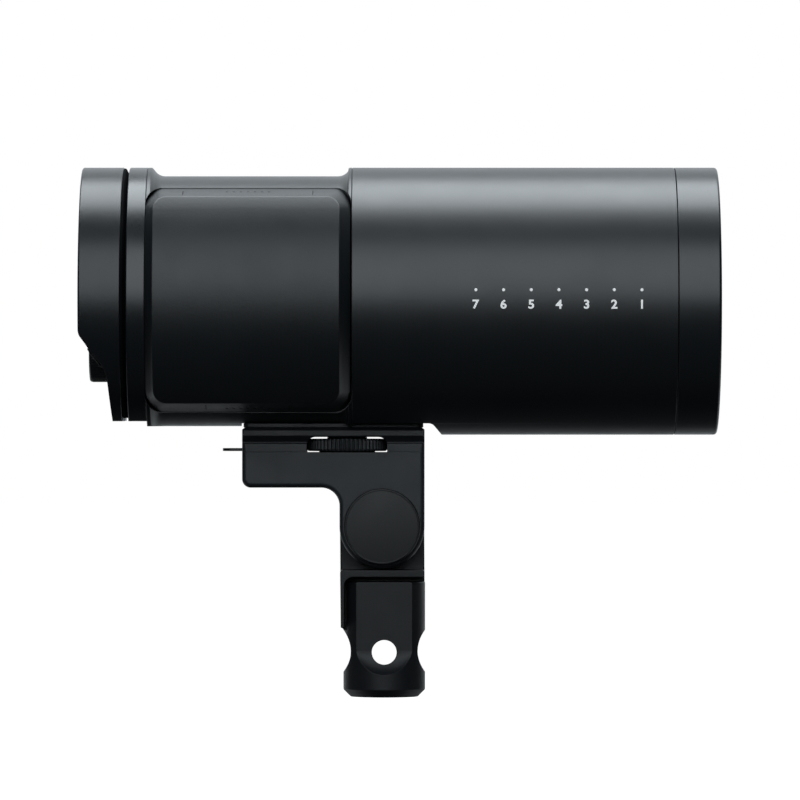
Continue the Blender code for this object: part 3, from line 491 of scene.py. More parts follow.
# reflector bowl, flash tube, socket and modelling light
bowl = [(72.0 + 44.2 * t, 14.0 + 30.4 * math.sqrt(t)) for t in [(k / 22) ** 2 for k in range(23)]]
back = [(x - 0.6, r + 1.1) for x, r in bowl][::-1]
cup = to_object("reflector", lathe([(72.0, 12.5)] + bowl + [(117.4, 44.4), (117.4, 46.6), (116.2, 46.6), (116.2, 45.6)] + back[1:] + [(70.8, 14.9), (70.8, 12.5)], 144, "X", C))
LEG = [(22.0 * math.sin(math.radians(s * 17)), -22.0 * math.cos(math.radians(17))) for s in (-1, 1)]
cut(cup, *[rod("X", 66, 92, 4.6, 32, (0, y, AXIS_Z + z)) for y, z in LEG])
piece(cup, "reflector", "head", "reflector", MIRROR)


def swept(path, radius, sides, smooth_ends=True):
    """A tube along a path, closed at both ends."""
    bm = bmesh.new()
    path = [Vector(p) for p in path]
    rings = []
    normal = Vector((1, 0.13, 0.07))
    for i, p in enumerate(path):
        t = (path[min(i + 1, len(path) - 1)] - path[max(i - 1, 0)]).normalized()
        normal = (normal - t * normal.dot(t)).normalized()
        side = t.cross(normal)
        rings.append([bm.verts.new(p + normal * (radius * math.cos(2 * math.pi * k / sides)) + side * (radius * math.sin(2 * math.pi * k / sides))) for k in range(sides)])
    for a, b in zip(rings, rings[1:]):
        for k in range(sides):
            bm.faces.new((a[k], a[(k + 1) % sides], b[(k + 1) % sides], b[k]))
    bm.faces.new(rings[0][::-1])
    bm.faces.new(rings[-1])
    return bm


def flash_path():
    a0, r = math.radians(17), 22.0
    pts = [(62.4 + 15.0 * k / 8, a0) for k in range(9)]
    corner = [(77.4 + 7.0 * math.sin(math.radians(10 * k)), a0 + math.radians(18) * (1 - math.cos(math.radians(10 * k)))) for k in range(1, 10)]
    a1 = a0 + math.radians(18)
    ring_part = [(84.4, a1 + (2 * math.pi - 2 * a1) * k / 60) for k in range(1, 60)]
    half = pts + corner
    other = [(x, 2 * math.pi - a) for x, a in half][::-1]
    return [(x, r * math.sin(a), AXIS_Z - r * math.cos(a)) for x, a in half + ring_part + other]


piece(swept(flash_path(), 3.4, 28), "flash_tube", "head", "flash_tube", CLEAR)
sock = bevel(to_object("flash_tube_socket", prism(rounded(-12.5, 12.5, AXIS_Z - 28.0, AXIS_Z - 14.5, 2.0), "X", 58.0, 69.4)), 0.5)
cut(sock, *[rod("X", 61.8, 75, 3.9, 32, (0, y, AXIS_Z + z)) for y, z in LEG])
piece(sock, "flash_tube_socket", "head", "flash_tube_socket", CERAMIC)
piece(lathe([(69.9, 0), (69.9, 11.6), (71.4, 11.6), (71.6, 11.4), (71.6, 8.4)] + [(71.6 + 1.0 * math.sqrt(max(0, 1 - (r / 8.4) ** 2)), r) for r in (8.2, 7.4, 6, 4, 2)] + [(72.6, 0)], 96, "X", C), "modeling_led", "head", "modeling_led", LED)

# ------------------------------------------------------------ scale on the near side of the tube
def wrap(ob, lift):
    """Bends a flat piece in X and Z onto the near side of the lamp tube."""
    for v in ob.data.vertices:
        r = R_BODY + lift + v.co.y
        a = v.co.z / R_BODY
        v.co = Vector((v.co.x, -r * math.cos(a), AXIS_Z + r * math.sin(a))) * 0.001


def numeral(text, x, z, height):
    curve = bpy.data.curves.new("numeral", "FONT")
    curve.body = text
    curve.align_x = "CENTER"
    curve.align_y = "CENTER"
    curve.size = height / 0.70
    curve.offset = 0.13
    curve.resolution_u = 8
    ob = bpy.data.objects.new("numeral", curve)
    SCENE.collection.objects.link(ob)
    bpy.context.view_layer.update()
    flat = bpy.data.meshes.new_from_object(ob.evaluated_get(bpy.context.evaluated_depsgraph_get()))
    bpy.data.objects.remove(ob)
    bm = bmesh.new()
    bm.from_mesh(flat)
    bmesh.ops.remove_doubles(bm, verts=bm.verts, dist=1e-4)
    lo = [min(v.co[k] for v in bm.verts) for k in (0, 1)]
    hi = [max(v.co[k] for v in bm.verts) for k in (0, 1)]
    for v in bm.verts:
        v.co = Vector((x + v.co.x - 0.5 * (lo[0] + hi[0]), 0.0, z + (v.co.y - 0.5 * (lo[1] + hi[1])) * height / (hi[1] - lo[1])))
    grown = bmesh.ops.extrude_face_region(bm, geom=bm.faces[:])
    for g in grown["geom"]:
        if isinstance(g, bmesh.types.BMVert):
            g.co.y += 0.05
    bmesh.ops.recalc_face_normals(bm, faces=bm.faces)
    me = bpy.data.meshes.new("numeral")
    bm.to_mesh(me)
    bm.free()
    ob = bpy.data.objects.new("numeral", me)
    SCENE.collection.objects.link(ob)
    return ob


for k in range(7):
    x = 33.8 + 10.18 * k
    mark = numeral(str(7 - k), x, -1.75, 3.35)
    wrap(mark, 0.015)
    piece(mark, f"scale_{7 - k}", "head", None, INK_WITH_PAINTED_GLOW)
    dot = bmesh.new()
    rim = [(x + 0.55 * math.cos(2 * math.pi * i / 24), 3.55 + 0.55 * math.sin(2 * math.pi * i / 24)) for i in range(24)]
    low, top = [dot.verts.new((a, 0.0, b)) for a, b in rim], [dot.verts.new((a, 0.05, b)) for a, b in rim]
    dot.faces.new(low)
    dot.faces.new(top[::-1])
    for i in range(24):
        dot.faces.new((low[i], low[(i + 1) % 24], top[(i + 1) % 24], top[i]))
    bmesh.ops.recalc_face_normals(dot, faces=dot.faces)
    me = bpy.data.meshes.new("dot")
    dot.to_mesh(me)
    dot.free()
    spot = bpy.data.objects.new("dot", me)
    SCENE.collection.objects.link(spot)
    wrap(spot, 0.015)
    piece(spot, f"scale_dot_{7 - k}", "head", None, INK_WITH_PAINTED_GLOW)

# ------------------------------------------------------------ middle housing
X_MID0 = X_BAND1 + 0.05
waist = ([(X_MID0, 0), (X_MID0, R_BODY - 0.2), (X_MID0 + 0.2, R_BODY), (-87.2, R_BODY)] + arc(-87.2, 49.0, 1.0, 90, 52, 4)
         + arc(-81.9, 51.5, 4.7, 217, 270, 12) + arc(-17.3, 51.5, 4.7, 270, 323, 12) + arc(-12.7, 49.0, 1.0, 128, 90, 4)
         + [(X_MID1 - 0.15, R_BODY), (X_MID1, R_BODY - 0.2), (X_MID1, 0)])
mid = to_object("mid_housing", lathe(waist, FINE, "X", C))
room = to_object("tool_room", rod("X", -93, -7, 44.0, 96, C))
cut(room, box(-99, -3, -60, -20.0, 80, 220), box(-99, -3, -60, 60, 80, 105.6))
cut(mid, box(-95, -5, -60, 60, 80, Z_MIDFLAT), box(-53.5, -5, -13.0, 13.0, 80, Z_FOOT),
    prism(rounded(X_MID0 - 0.15, X_MID1 + 0.1, AXIS_Z - 42.0, AXIS_Z + 42.0, 6.9), "Y", -80, -Y_WALL),
    prism(rounded(X_MID0 - 0.15, X_MID1 + 0.1, AXIS_Z - 42.0, AXIS_Z + 42.0, 6.9), "Y", Y_WALL, 80),
    room, rod("Z", 98, 110, 3.6, 32, (WHEEL_X, 0, 0)),
    box(-66.3, -49.7, -25, -15, AXIS_Z - 5.3, AXIS_Z + 5.3))
bevel(mid, 0.35, 2, 50)
piece(mid, "mid_housing", "head", "mid_housing", HOUSING)
plug = bevel(to_object("battery_connector", prism(rounded(-65.9, -50.1, AXIS_Z - 4.9, AXIS_Z + 4.9, 1.0), "Y", -22.3, -17.5)), 0.3)
cut(plug, *[box(-64.2 + 2.9 * k, -62.6 + 2.9 * k, -24, -20.6, AXIS_Z - 3.4, AXIS_Z + 3.4) for k in range(5)])
piece(plug, "battery_connector", "head", "battery_connector", BRASS)


# ------------------------------------------------------------ battery and side cover
def outline(hx, hz, r, n, side):
    low = [(hx - r + r * math.cos(t), -hz + r + r * math.sin(t)) for t in [math.radians(-90 + 90 * i / n) for i in range(n + 1)]]
    mid_part = [(hx, -hz + r + (2 * hz - 2 * r) * i / side) for i in range(1, side)]
    return low + mid_part + [(x, -z) for x, z in reversed(low)]


def pad(levels, sign, n=10, side=36):
    bm = bmesh.new()
    rings = []
    for hx, hz, r, surf, shift in levels:
        half = outline(hx, hz, r, n, side)
        rings.append(([bm.verts.new((PAD_X + shift + x, sign * surf(z), AXIS_Z + z)) for x, z in half],
                      [bm.verts.new((PAD_X + shift - x, sign * surf(z), AXIS_Z + z)) for x, z in half]))
    for right, left in (rings[0], rings[-1]):
        for i in range(len(right) - 1):
            bm.faces.new((right[i], right[i + 1], left[i + 1], left[i]))
    for (r0, l0), (r1, l1) in zip(rings, rings[1:]):
        a, b = r0 + l0[::-1], r1 + l1[::-1]
        for i in range(len(a)):
            j = (i + 1) % len(a)
            bm.faces.new((a[i], a[j], b[j], b[i]))
    return bm


def cylinder_at(radius):
    return lambda z: math.sqrt(max(radius * radius - z * z, 1.0))


def level_at(y):
    return lambda z: y


def between(f, g, t):
    return lambda z: f(z) * (1 - t) + g(z) * t


def pad_levels(inset=0.0, back=Y_WALL + 0.3):
    """Crowned face, a rounded break, the sloping border, and the foot behind it."""
    face, brim = cylinder_at(R_PAD - inset), cylinder_at(R_BODY - 0.4 - inset)
    hx0, hz0, r0 = 34.55 - inset, 38.35 - inset, 4.9 - 0.5 * inset
    hx1, hz1, r1 = PAD_BX - 0.2 - inset, PAD_HZ + 1.65 - inset, 6.5 - 0.5 * inset
    aside = -0.4
    out = []
    if inset == 0.0:
        # the small rounded break between the face and the border
        for k in range(5):
            t = k / 4
            out.append((hx0 - 0.40 + 0.48 * math.sin(t * 1.3), hz0 - 0.40 + 0.44 * math.sin(t * 1.3), r0 - 0.3 + 0.35 * t, between(face, brim, 0.055 * (1 - math.cos(t * 1.3)) / (1 - math.cos(1.3))), aside))
        for t in (0.2, 0.4, 0.6, 0.8):
            out.append((hx0 + (hx1 - hx0) * t, hz0 + (hz1 - hz0) * t, r0 + (r1 - r0) * t, between(face, brim, t), aside * (1 - t)))
    else:
        out.append((hx0, hz0, r0, face, aside))
    out.append((hx1, hz1, r1, brim, 0.0))
    out.append((PAD_BX - inset, PAD_BZ - inset, 6.6 - 0.5 * inset, level_at(back), 0.0))
    return out


SLOPE = (PAD_BZ - PAD_HZ) / (39.4 - Y_WALL - 0.3)


def brim_z(y):
    return PAD_HZ + (39.4 + y) * SLOPE


def release(sign, half_len, grow, thick, lift=0.0):
    y0, y1 = -36.2 - grow, -27.0 + grow
    pts = [(y0, brim_z(y0) + lift + 3 * grow), (y1, brim_z(y1) + lift + 3 * grow), (y1, brim_z(y1) + lift - thick), (y0, brim_z(y0) + lift - thick)]
    pts = fillet([(y, AXIS_Z + sign * z) for y, z in pts], 0.25 if grow == 0 else 0.4, 4)
    return prism(pts, "X", PAD_X - half_len - grow, PAD_X + half_len + grow)


battery = to_object("battery", pad(pad_levels(), -1))
cut(battery, pad(pad_levels(2.0, Y_WALL - 3), -1), release(1, 24.0, 0.16, 6.0), release(-1, 15.4, 0.16, 6.0))
bevel(battery, 0.25, 2, 55)
piece(battery, "battery_case", "battery", "battery_cover", PLASTIC)
for sign, half_len, tag in ((1, 24.0, "top"), (-1, 15.4, "bottom")):
    key = bevel(to_object("key", release(sign, half_len, 0.0, 1.7)), 0.14, 2, 45)
    y0, y1 = -32.6, -28.4
    grip = []
    for k in range(-3, 4):
        x = PAD_X + k * 2.6
        grip.append(prism([(y0, AXIS_Z + sign * (brim_z(y0) - 0.12)), (y1, AXIS_Z + sign * (brim_z(y1) - 0.12)), (y1, AXIS_Z + sign * (brim_z(y1) + 3)), (y0, AXIS_Z + sign * (brim_z(y0) + 3))], "X", x - 0.45, x + 0.45))
    cut(key, *grip)
    piece(key, f"battery_release_{tag}", f"battery_release_{tag}", f"battery_release_{tag}", PLASTIC)
base = bevel(to_object("battery_base", prism(rounded(PAD_X - 35.8, PAD_X + 35.8, AXIS_Z - 38.2, AXIS_Z + 38.2, 8.0), "Y", -23.2, -Y_WALL - 0.3)), 0.4, 3)
cut(base, box(-66.4, -49.6, -25, -15, AXIS_Z - 5.4, AXIS_Z + 5.4),
    *[rod("Y", -22.3, -18, 1.6, 24, (PAD_X + sx * 31.5, 0, AXIS_Z + sz * 33.0)) for sx in (-1, 1) for sz in (-1, 1)],
    *[box(PAD_X - 24, PAD_X + 24, -21.6, -20, AXIS_Z + z - 0.6, AXIS_Z + z + 0.6) for z in (-24, -20, -16, 16, 20, 24)])
piece(base, "battery_base", "battery", "battery_base", PLASTIC)

cover = to_object("side_cover", pad(pad_levels(), 1))
cut(cover, pad(pad_levels(2.0, Y_WALL - 3), 1))
bevel(cover, 0.25, 2, 55)
piece(cover, "side_cover", "head", "side_cover", PLASTIC)

# ------------------------------------------------------------ ring behind the middle housing
X_LIP = X_BAND0 - 0.1
band_profile = fillet([(-99.4, 46.3), (X_COVEREND + 0.05, 46.3), (X_COVEREND + 0.05, 49.7), (-96.5, 49.7), (-95.45, 47.5), (X_LIP, 47.5), (X_LIP, R_BODY), (X_BAND1, R_BODY), (X_BAND1, 43.0), (-99.4, 43.0)],
                      [0, 0.1, 0.15, 0.7, 0.15, 0.1, 0.45, 0.2, 0, 0], 5)
band = to_object("rear_ring", lathe(band_profile, FINE, "X", C))
cut(band, box(-105, -80, -60, 60, 80, Z_REARFLAT), box(-105, -97.3, -60, 60, 85, 106.1), box(-105, -98.1, -60, 60, 85, AXIS_Z - 20.0),
    box(-105, X_LIP + 0.02, -60, 60, 80, Z_REARFLAT + 1.2))
bevel(band, 0.2, 2, 55)
piece(band, "rear_ring", "head", "rear_ring", SHINY)
# the bottom of the groove is a gasket in near black with almost no sheen: a real part, and also painted shade that
# keeps the groove dark
band.data.materials.append(GASKET_PAINTED_SHADE)
for f in band.data.polygons:
    x, y, z = f.center
    if x * 1000 < X_LIP - 0.03:
        f.material_index = 1

# ------------------------------------------------------------ rear cover with the controls
shell = fillet([(X_COVEREND, 0), (X_COVEREND, R_BODY), (X_REAR, R_BODY), (X_REAR, 0)], [0, 0.35, 0.8, 0], 8, closed=False)
rear = to_object("rear_cover", lathe(shell, FINE, "X", C))
face = [(-113.4, -9.4), (-112.72, -11.8), (-112.2, -13.4), (-108.7, -18.4), (-105.4, -22.4), (-103.7, -25.0), (-102.5, -28.2), (-102.0, -31.0), (-100.8, -46.0)]


def smooth_line(pts, steps=6):
    """A Catmull-Rom curve through the points."""
    out = []
    for i in range(len(pts) - 1):
        p0, p1, p2, p3 = (Vector(pts[max(i - 1, 0)]), Vector(pts[i]), Vector(pts[i + 1]), Vector(pts[min(i + 2, len(pts) - 1)]))
        for k in range(steps):
            t = k / steps
            out.append(tuple(0.5 * ((2 * p1) + (p2 - p0) * t + (2 * p0 - 5 * p1 + 4 * p2 - p3) * t * t + (3 * p1 - p0 - 3 * p2 + p3) * t ** 3)))
    return out + [tuple(pts[-1])]


fine_face = smooth_line([face[0]] + [face[1], face[2], (-110.4, -15.9), (-108.7, -18.4), (-105.4, -22.6), (-103.7, -25.2), (-102.6, -28.0), (-102.15, -31.0), (-100.8, -46.0)], 5)
slant = prism([(-130, AXIS_Z - 9.4)] + [(x, AXIS_Z + z) for x, z in fine_face] + [(-100.8, 80), (-130, 80)], "Y", -60, 60)
inner = to_object("tool_inner", rod("X", -109.0, -90, 46.8, 96, C))
cut(inner, prism([(-130, AXIS_Z - 8.0)] + [(x + 2.5, AXIS_Z + z + 1.6) for x, z in face] + [(-98.4, 80), (-130, 80)], "Y", -60, 60),
    box(-120, -80, -60, 60, 80, 105.6), rod("X", -120, -99.4, R_DIAL + 3.0, 48, (0, 0, DIAL_Z)))
a = math.degrees(math.asin(-4.3 / 43.8))
keys = []
turn = Vector((0, 0, 1)).rotation_difference(BUTTON_DIR).to_matrix()
KEYS = (("power_button", 34.5), ("menu_button", 23.0), ("modeling_light_button", -23.0), ("test_button", -34.5))


def tilted(bm, where):
    bmesh.ops.rotate(bm, verts=bm.verts, cent=(0, 0, 0), matrix=turn)
    bmesh.ops.translate(bm, verts=bm.verts, vec=where)
    return bm


for name, y in KEYS:
    keys.append(tilted(lathe([(-8, 0), (-8, 8.2), (-0.75, 5.2), (-0.35, 4.72), (6, 4.72), (6, 0)], 48, "Z"), Vector((BUTTON_X, y, BUTTON_Z))))
cut(rear, box(-120, -90, -60, 60, 80, Z_REARFLAT), slant, inner,
    lathe([(-125, 0), (-125, R_DIAL + 3.2), (-109.2, R_DIAL + 1.4), (-108.4, R_DIAL + 0.8), (-101.5, R_DIAL + 0.8), (-101.5, 0)], 96, "X", (0, 0, DIAL_Z)),
    rod("X", -110, -95, 4.0, 32, (0, 0, DIAL_Z)),
    prism(fillet([(y, AXIS_Z + z) for y, z in arc(0, 0, 43.8, a, 180 - a, 72)], [1.2] + [0] * 71 + [1.2], 5), "X", -116, -111.0),
    box(-115, -105, -25.0, 25.0, AXIS_Z + 3.0, AXIS_Z + 34.0), *keys)
bevel(rear, 0.3, 2, 50)
piece(rear, "rear_cover", "head", "rear_cover", REAR)

a = math.degrees(math.asin(-4.0 / 43.5))
window = bevel(to_object("window", prism(fillet([(y, AXIS_Z + z) for y, z in arc(0, 0, 43.5, a, 180 - a, 96)], [1.2] + [0] * 95 + [1.2], 5), "X", -112.55, -111.3)), 0.25, 3, 60)
piece(window, "display_window", "head", "display_window", GLOSS)

for name, y in KEYS:
    cap = [(-0.30, 0)] + [(-0.30 - 0.62 * (r / 3.4) ** 2, r) for r in (0.8, 1.6, 2.4, 3.0, 3.4)] + arc(-0.45, 3.9, 0.5, 180, 90, 5) + [(4.4, 4.4), (4.4, 0)]
    key = to_object(name, lathe(cap, 64, "Z"))
    # a raised mark in the middle of each key, a different plain shape on each
    mark = {"power_button": lambda: lathe([(-0.62, 1.0), (-0.62, 1.35), (0.4, 1.35), (0.4, 1.0)], 40, "Z"),
            "menu_button": lambda: rod("Z", -0.62, 0.4, 0.55, 24, (0, 0, 0)),
            "modeling_light_button": lambda: lathe([(-0.62, 0), (-0.62, 1.15), (0.4, 1.15), (0.4, 0)], 6, "Z"),
            "test_button": lambda: prism([(-1.1, -1.1), (1.1, -1.1), (0, 1.1)], "Z", -0.62, 0.4)}[name]()
    cut(key, mark, operation="UNION")
    bm = bmesh.new()
    bm.from_mesh(key.data)
    bmesh.ops.scale(bm, verts=bm.verts, vec=(1000,) * 3)
    bpy.data.objects.remove(key)
    piece(tilted(bm, Vector((BUTTON_X, y, BUTTON_Z))), name, name, name, RUBBER)

# dial: fluted rim and dished face
flutes = 72


def dial_ripple(x, r, i):
    if r < R_DIAL - 0.25 or x > -102.9 or x < -109.3:
        return r
    return r - 0.12 * (0.5 + 0.5 * math.cos(2 * math.pi * i / 6))


knob_profile = ([(-109.75, 0), (-109.8, 4.5), (-110.05, 8.2), (-110.3, 9.2), (-110.3, 10.0)] + arc(-109.3, 10.9, 1.0, 150, 95, 4)
                + [(-109.0, R_DIAL - 0.02), (-108.9, R_DIAL), (-103.2, R_DIAL), (-102.9, R_DIAL - 0.15), (-102.6, R_DIAL - 0.4), (-102.45, R_DIAL - 0.6), (-102.45, 3.4), (-107.3, 3.4), (-107.3, 0)])
piece(lathe(knob_profile, flutes * 6, "X", (0, 0, DIAL_Z), dial_ripple), "control_dial", "dial", "control_dial", DIAL, 28)

# ------------------------------------------------------------ foot under the head
W = (WHEEL_X, 0, 0)
foot = bevel(to_object("foot_plate", prism(rounded(-52.5, 14.6, -12.3, 12.3, 2.5), "Z", 100.75, Z_FOOT - 0.03)), 0.2)
cut(foot, rod("Z", 99, 104, 3.6, 32, W), *[lathe([(99, 0), (99, 3.2), (101.2, 3.2), (102.3, 1.8), (104, 1.8), (104, 0)], 32, "Z", (x, 0, 0)) for x in (-46.0, 8.0)])
piece(foot, "foot_plate", "head", "foot_plate", BLASTED)
for i, x in enumerate((-46.0, 8.0), 1):
    screw = to_object("screw", lathe([(101.05, 0), (101.05, 2.8), (102.4, 1.45), (108.4, 1.45), (108.4, 0)], 32, "Z", (x, 0, 0)))
    cut(screw, prism([(x + 0.95 * math.cos(math.radians(60 * k)), 0.95 * math.sin(math.radians(60 * k))) for k in range(6)], "Z", 100, 102.0))
    piece(screw, f"foot_screw_{i}", "head", f"foot_screw_{i}", DARKSTEEL)

# ------------------------------------------------------------ stand adapter
RND = 1.8
front_line = (fillet([(X_BLOCK0, 96.0), (X_BLOCK0, 78.3), (X_FILLET, 78.3)], [0, 3.2, 0], 8, closed=False)[:-1]
              + arc(X_FILLET, 71.5, 6.8, 90, 0, 12) + arc(PIVOT_X, PIVOT_Z, R_ARM, 180, 360, 56) + [(X_BLOCK1, 96.0)])
adapter = bevel(to_object("adapter_body", prism(front_line, "Y", -HALF_W, -0.8)), RND, 5, 35)
behind = bevel(to_object("tool_block", prism(fillet([(X_BLOCK0, 96.0), (X_BLOCK0, 78.3), (X_BLOCK1, 78.3), (X_BLOCK1, 96.0)], [0, 3.2, 1.2, 0], 8), "Y", -6.0, HALF_W)), RND, 5, 35)
bake(behind)
cut(adapter, behind, operation="UNION")
cut(adapter, box(-60, 20, -20, 20, 91.6, 120),
    rod("Y", -1.1, 20, 16.4, 96, P), box(-20.0, 20, -1.1, 20, 70, 80.7),
    lathe([(-20, 0), (-20, 10.0), (-9.0, 10.0), (-9.0, 4.4), (5, 4.4), (5, 0)], 64, "Y", P),
    box(WHEEL_X - 15.0, WHEEL_X + 15.0, -20, 20, 91.44, 125), rod("Z", 83.5, 90, 3.7, 32, W), rod("Z", 89, 95, 3.7, 32, W),
    *[lathe([(70, 0), (70, 3.6), (78.6, 3.4), (81.6, 3.4), (81.6, 1.9), (95, 1.9), (95, 0)], 32, "Z", (x, 0, 0)) for x in (-46.5, -35.0)])
bevel(adapter, 0.3, 2, 55)
piece(adapter, "adapter_body", "head", "adapter_body", BLASTED)

side = fillet([(13.5, 91.62), (13.5, 94.9), (10.6, 94.9), (12.9, 97.7), (12.9, 99.6), (11.9, 100.72)], [0, 0.5, 0.35, 0.3, 0.4, 0], 4, closed=False)
plate = to_object("adapter_plate", prism(side + [(-y, z) for y, z in reversed(side)], "X", X_BLOCK0, X_BLOCK1))
cut(plate, prism(rounded(X_BLOCK0, X_BLOCK1, -13.5, 13.5, 1.7), "Z", 80, 110), operation="INTERSECT")
cut(plate, prism(fillet([(WHEEL_X - 15.0, 85), (WHEEL_X + 15.0, 85), (WHEEL_X + 15.0, 97.2), (WHEEL_X - 15.0, 97.2)], [0, 0, 3.2, 3.2], 8), "Y", -20, 20),
    rod("Z", 85, 96.9, 15.6, 96, W), rod("Z", 90, 105, 3.6, 32, W), box(-60, -41.8, -5.4, 5.4, 85, 93.3),
    *[prism([(x + s * 1, 99.2), (x - s * 1.6, 101.2), (x + s * 1, 103)], "Y", -20, 20) for s, x in ((-1, X_BLOCK0), (1, X_BLOCK1))],
    *[rod("Z", 85, 97.5, 1.9, 24, (x, 0, 0)) for x in (-35.0, -46.5)])
bevel(plate, 0.25, 2, 55)
piece(plate, "adapter_plate", "head", "adapter_plate", BLASTED)

tab = to_object("safety_tab", prism(arc(-56.9, 0, 3.6, 90, 270, 24) + fillet([(-42.6, -3.6), (-42.6, 3.6)], 0), "Z", 91.9, 93.0))
cut(tab, rod("Z", 90, 95, 1.5, 32, (-57.4, 0, 0)), rod("Z", 90, 95, 1.9, 32, (-46.5, 0, 0)))
bevel(tab, 0.18, 2, 50)
piece(tab, "safety_tab", "head", "safety_tab", DARKSTEEL)
for i, x in enumerate((-46.5, -35.0), 1):
    screw = to_object("screw", lathe([(79.0, 0), (79.0, 2.45), (79.12, 2.75), (79.4, 3.0), (81.3, 3.0), (81.3, 1.6), (97.0, 1.6), (97.0, 0)], 40, "Z", (x, 0, 0)))
    cut(screw, prism([(x + 1.45 * math.cos(math.radians(60 * k)), 1.45 * math.sin(math.radians(60 * k))) for k in range(6)], "Z", 78, 80.6))
    piece(screw, f"adapter_screw_{i}", "head", f"adapter_screw_{i}", DARKSTEEL)

# round cap over the tilt bolt, very slightly domed
cap = [(-15.5 - 0.42, 0)] + [(-15.5 - 0.42 * (1 - (r / 13.4) ** 2), r) for r in (2, 4, 6, 8, 10, 11.6, 12.7, 13.35)] + arc(-15.05, 13.65, 0.6, 210, 90, 6)[1:] + [(-14.1, 14.3), (-13.8, 14.0), (-13.8, 9.6), (-12.1, 9.6), (-12.1, 0)]
cap = [(max(a, -15.9), r) for a, r in cap]
piece(lathe(cap, 160, "Y", P), "pivot_cap", "head", "pivot_cap", CAP)
bolt = to_object("tilt_bolt", lathe([(-11.7, 0), (-11.7, 6.4), (-11.55, 6.8), (-11.2, 7.0), (-9.4, 7.0), (-9.4, 4.0), (24.6, 4.0), (25.0, 3.6), (25.0, 0)], 64, "Y", P))
cut(bolt, prism([(PIVOT_X + 2.9 * math.cos(math.radians(60 * k)), PIVOT_Z + 2.9 * math.sin(math.radians(60 * k))) for k in range(6)], "Y", -13, -10.2))
piece(bolt, "tilt_bolt", "head", "tilt_bolt", DARKSTEEL)
piece(lathe(fillet([(12.3, 4.4), (12.3, 9.5), (13.3, 9.5), (13.3, 4.4)], 0.2, 3), 64, "Y", P), "tilt_washer", "tilt_washer", "tilt_washer", STEEL)

# tilt knob: collar, tapered hub and a thumb wing
knob = to_object("tilt_knob", lathe(fillet([(13.6, 4.3), (13.6, 12.6), (14.1, 13.2), (16.8, 13.2), (17.6, 12.4), (17.6, 7.5), (29.2, 6.4), (29.8, 5.8), (29.8, 0)], [0, 0.3, 0.3, 0.4, 0.4, 0.8, 0.5, 0.3, 0], 4, closed=False) + [(27.0, 0), (27.0, 4.3)], 96, "Y", P))
wing = to_object("tool_wing", prism(rounded(PIVOT_X - 4.6, PIVOT_X + 4.6, PIVOT_Z - 14.2, PIVOT_Z + 14.2, 4.55, 10), "Y", 17.1, 28.8))
bevel(wing, 1.6, 5, 45)
bake(wing)
cut(knob, wing, operation="UNION")
cut(knob, *[prism([(PIVOT_X + s * 4.25, PIVOT_Z + z - 0.35), (PIVOT_X + s * 6, PIVOT_Z + z - 0.9), (PIVOT_X + s * 6, PIVOT_Z + z + 0.9), (PIVOT_X + s * 4.25, PIVOT_Z + z + 0.35)], "Y", 19.5, 27.0) for s in (-1, 1) for z in (-11.6, -9.6, -7.6, 7.6, 9.6, 11.6)])
piece(knob, "tilt_knob", "tilt_knob", "tilt_knob", KNOB)

# ------------------------------------------------------------ thumb wheel with a ribbed rim
RIBS = 60


def wheel_ripple(z, r, i):
    if r < R_WHEEL - 0.3 or z < 92.2 or z > 96.3:
        return r
    return r - 0.5 * (0.5 + 0.5 * math.cos(2 * math.pi * i / 8)) ** 0.8


wheel = ([(91.5, 3.5), (91.5, 10.3), (91.6, 10.5), (91.9, 10.5), (91.9, 14.3), (92.0, 14.6), (92.5, R_WHEEL - 0.12), (92.65, R_WHEEL)]
         + [(92.65 + 3.1 * k / 4, R_WHEEL) for k in range(1, 5)] + [(95.9, R_WHEEL - 0.12), (96.4, 14.6), (96.5, 14.3), (96.5, 7.6), (96.6, 7.5), (97.12, 7.4), (97.12, 3.5)])
piece(lathe(wheel, RIBS * 8, "Z", W, wheel_ripple), "thumb_wheel", "thumb_wheel", "thumb_wheel", BLASTED, 28)


def threaded(profile_r, lo, hi, pitch, depth, axis, centre, seg=40, tip=1.0):
    """A screw thread drawn as one rippled turned surface; its crest winds round."""
    bm = bmesh.new()
    steps = int((hi - lo) / pitch * 6)
    along, out, side = {"Y": (Vector((0, 1, 0)), Vector((1, 0, 0)), Vector((0, 0, 1))), "Z": (Vector((0, 0, 1)), Vector((1, 0, 0)), Vector((0, 1, 0)))}[axis]
    centre = Vector(centre)
    rings = []
    for k in range(steps + 1):
        a = lo + (hi - lo) * k / steps
        ring = []
        for i in range(seg):
            t = 2 * math.pi * i / seg
            phase = (a / pitch - i / seg) % 1.0
            wave = abs(2 * phase - 1)
            taper = max(0.0, 1 - min(a - lo, hi - a) / tip) * 0.7
            r = profile_r - depth * wave - taper
            ring.append(bm.verts.new(centre + along * a + out * (r * math.cos(t)) + side * (r * math.sin(t))))
        rings.append(ring)
    for a, b in zip(rings, rings[1:]):
        for i in range(seg):
            j = (i + 1) % seg
            bm.faces.new((a[i], a[j], b[j], b[i]))
    bm.faces.new(rings[0][::-1])
    bm.faces.new(rings[-1])
    return bm


piece(threaded(3.15, 84.2, 110.8, 1.0, 0.42, "Z", W), "clamp_screw", "thumb_wheel", "clamp_screw", STEEL, 50)

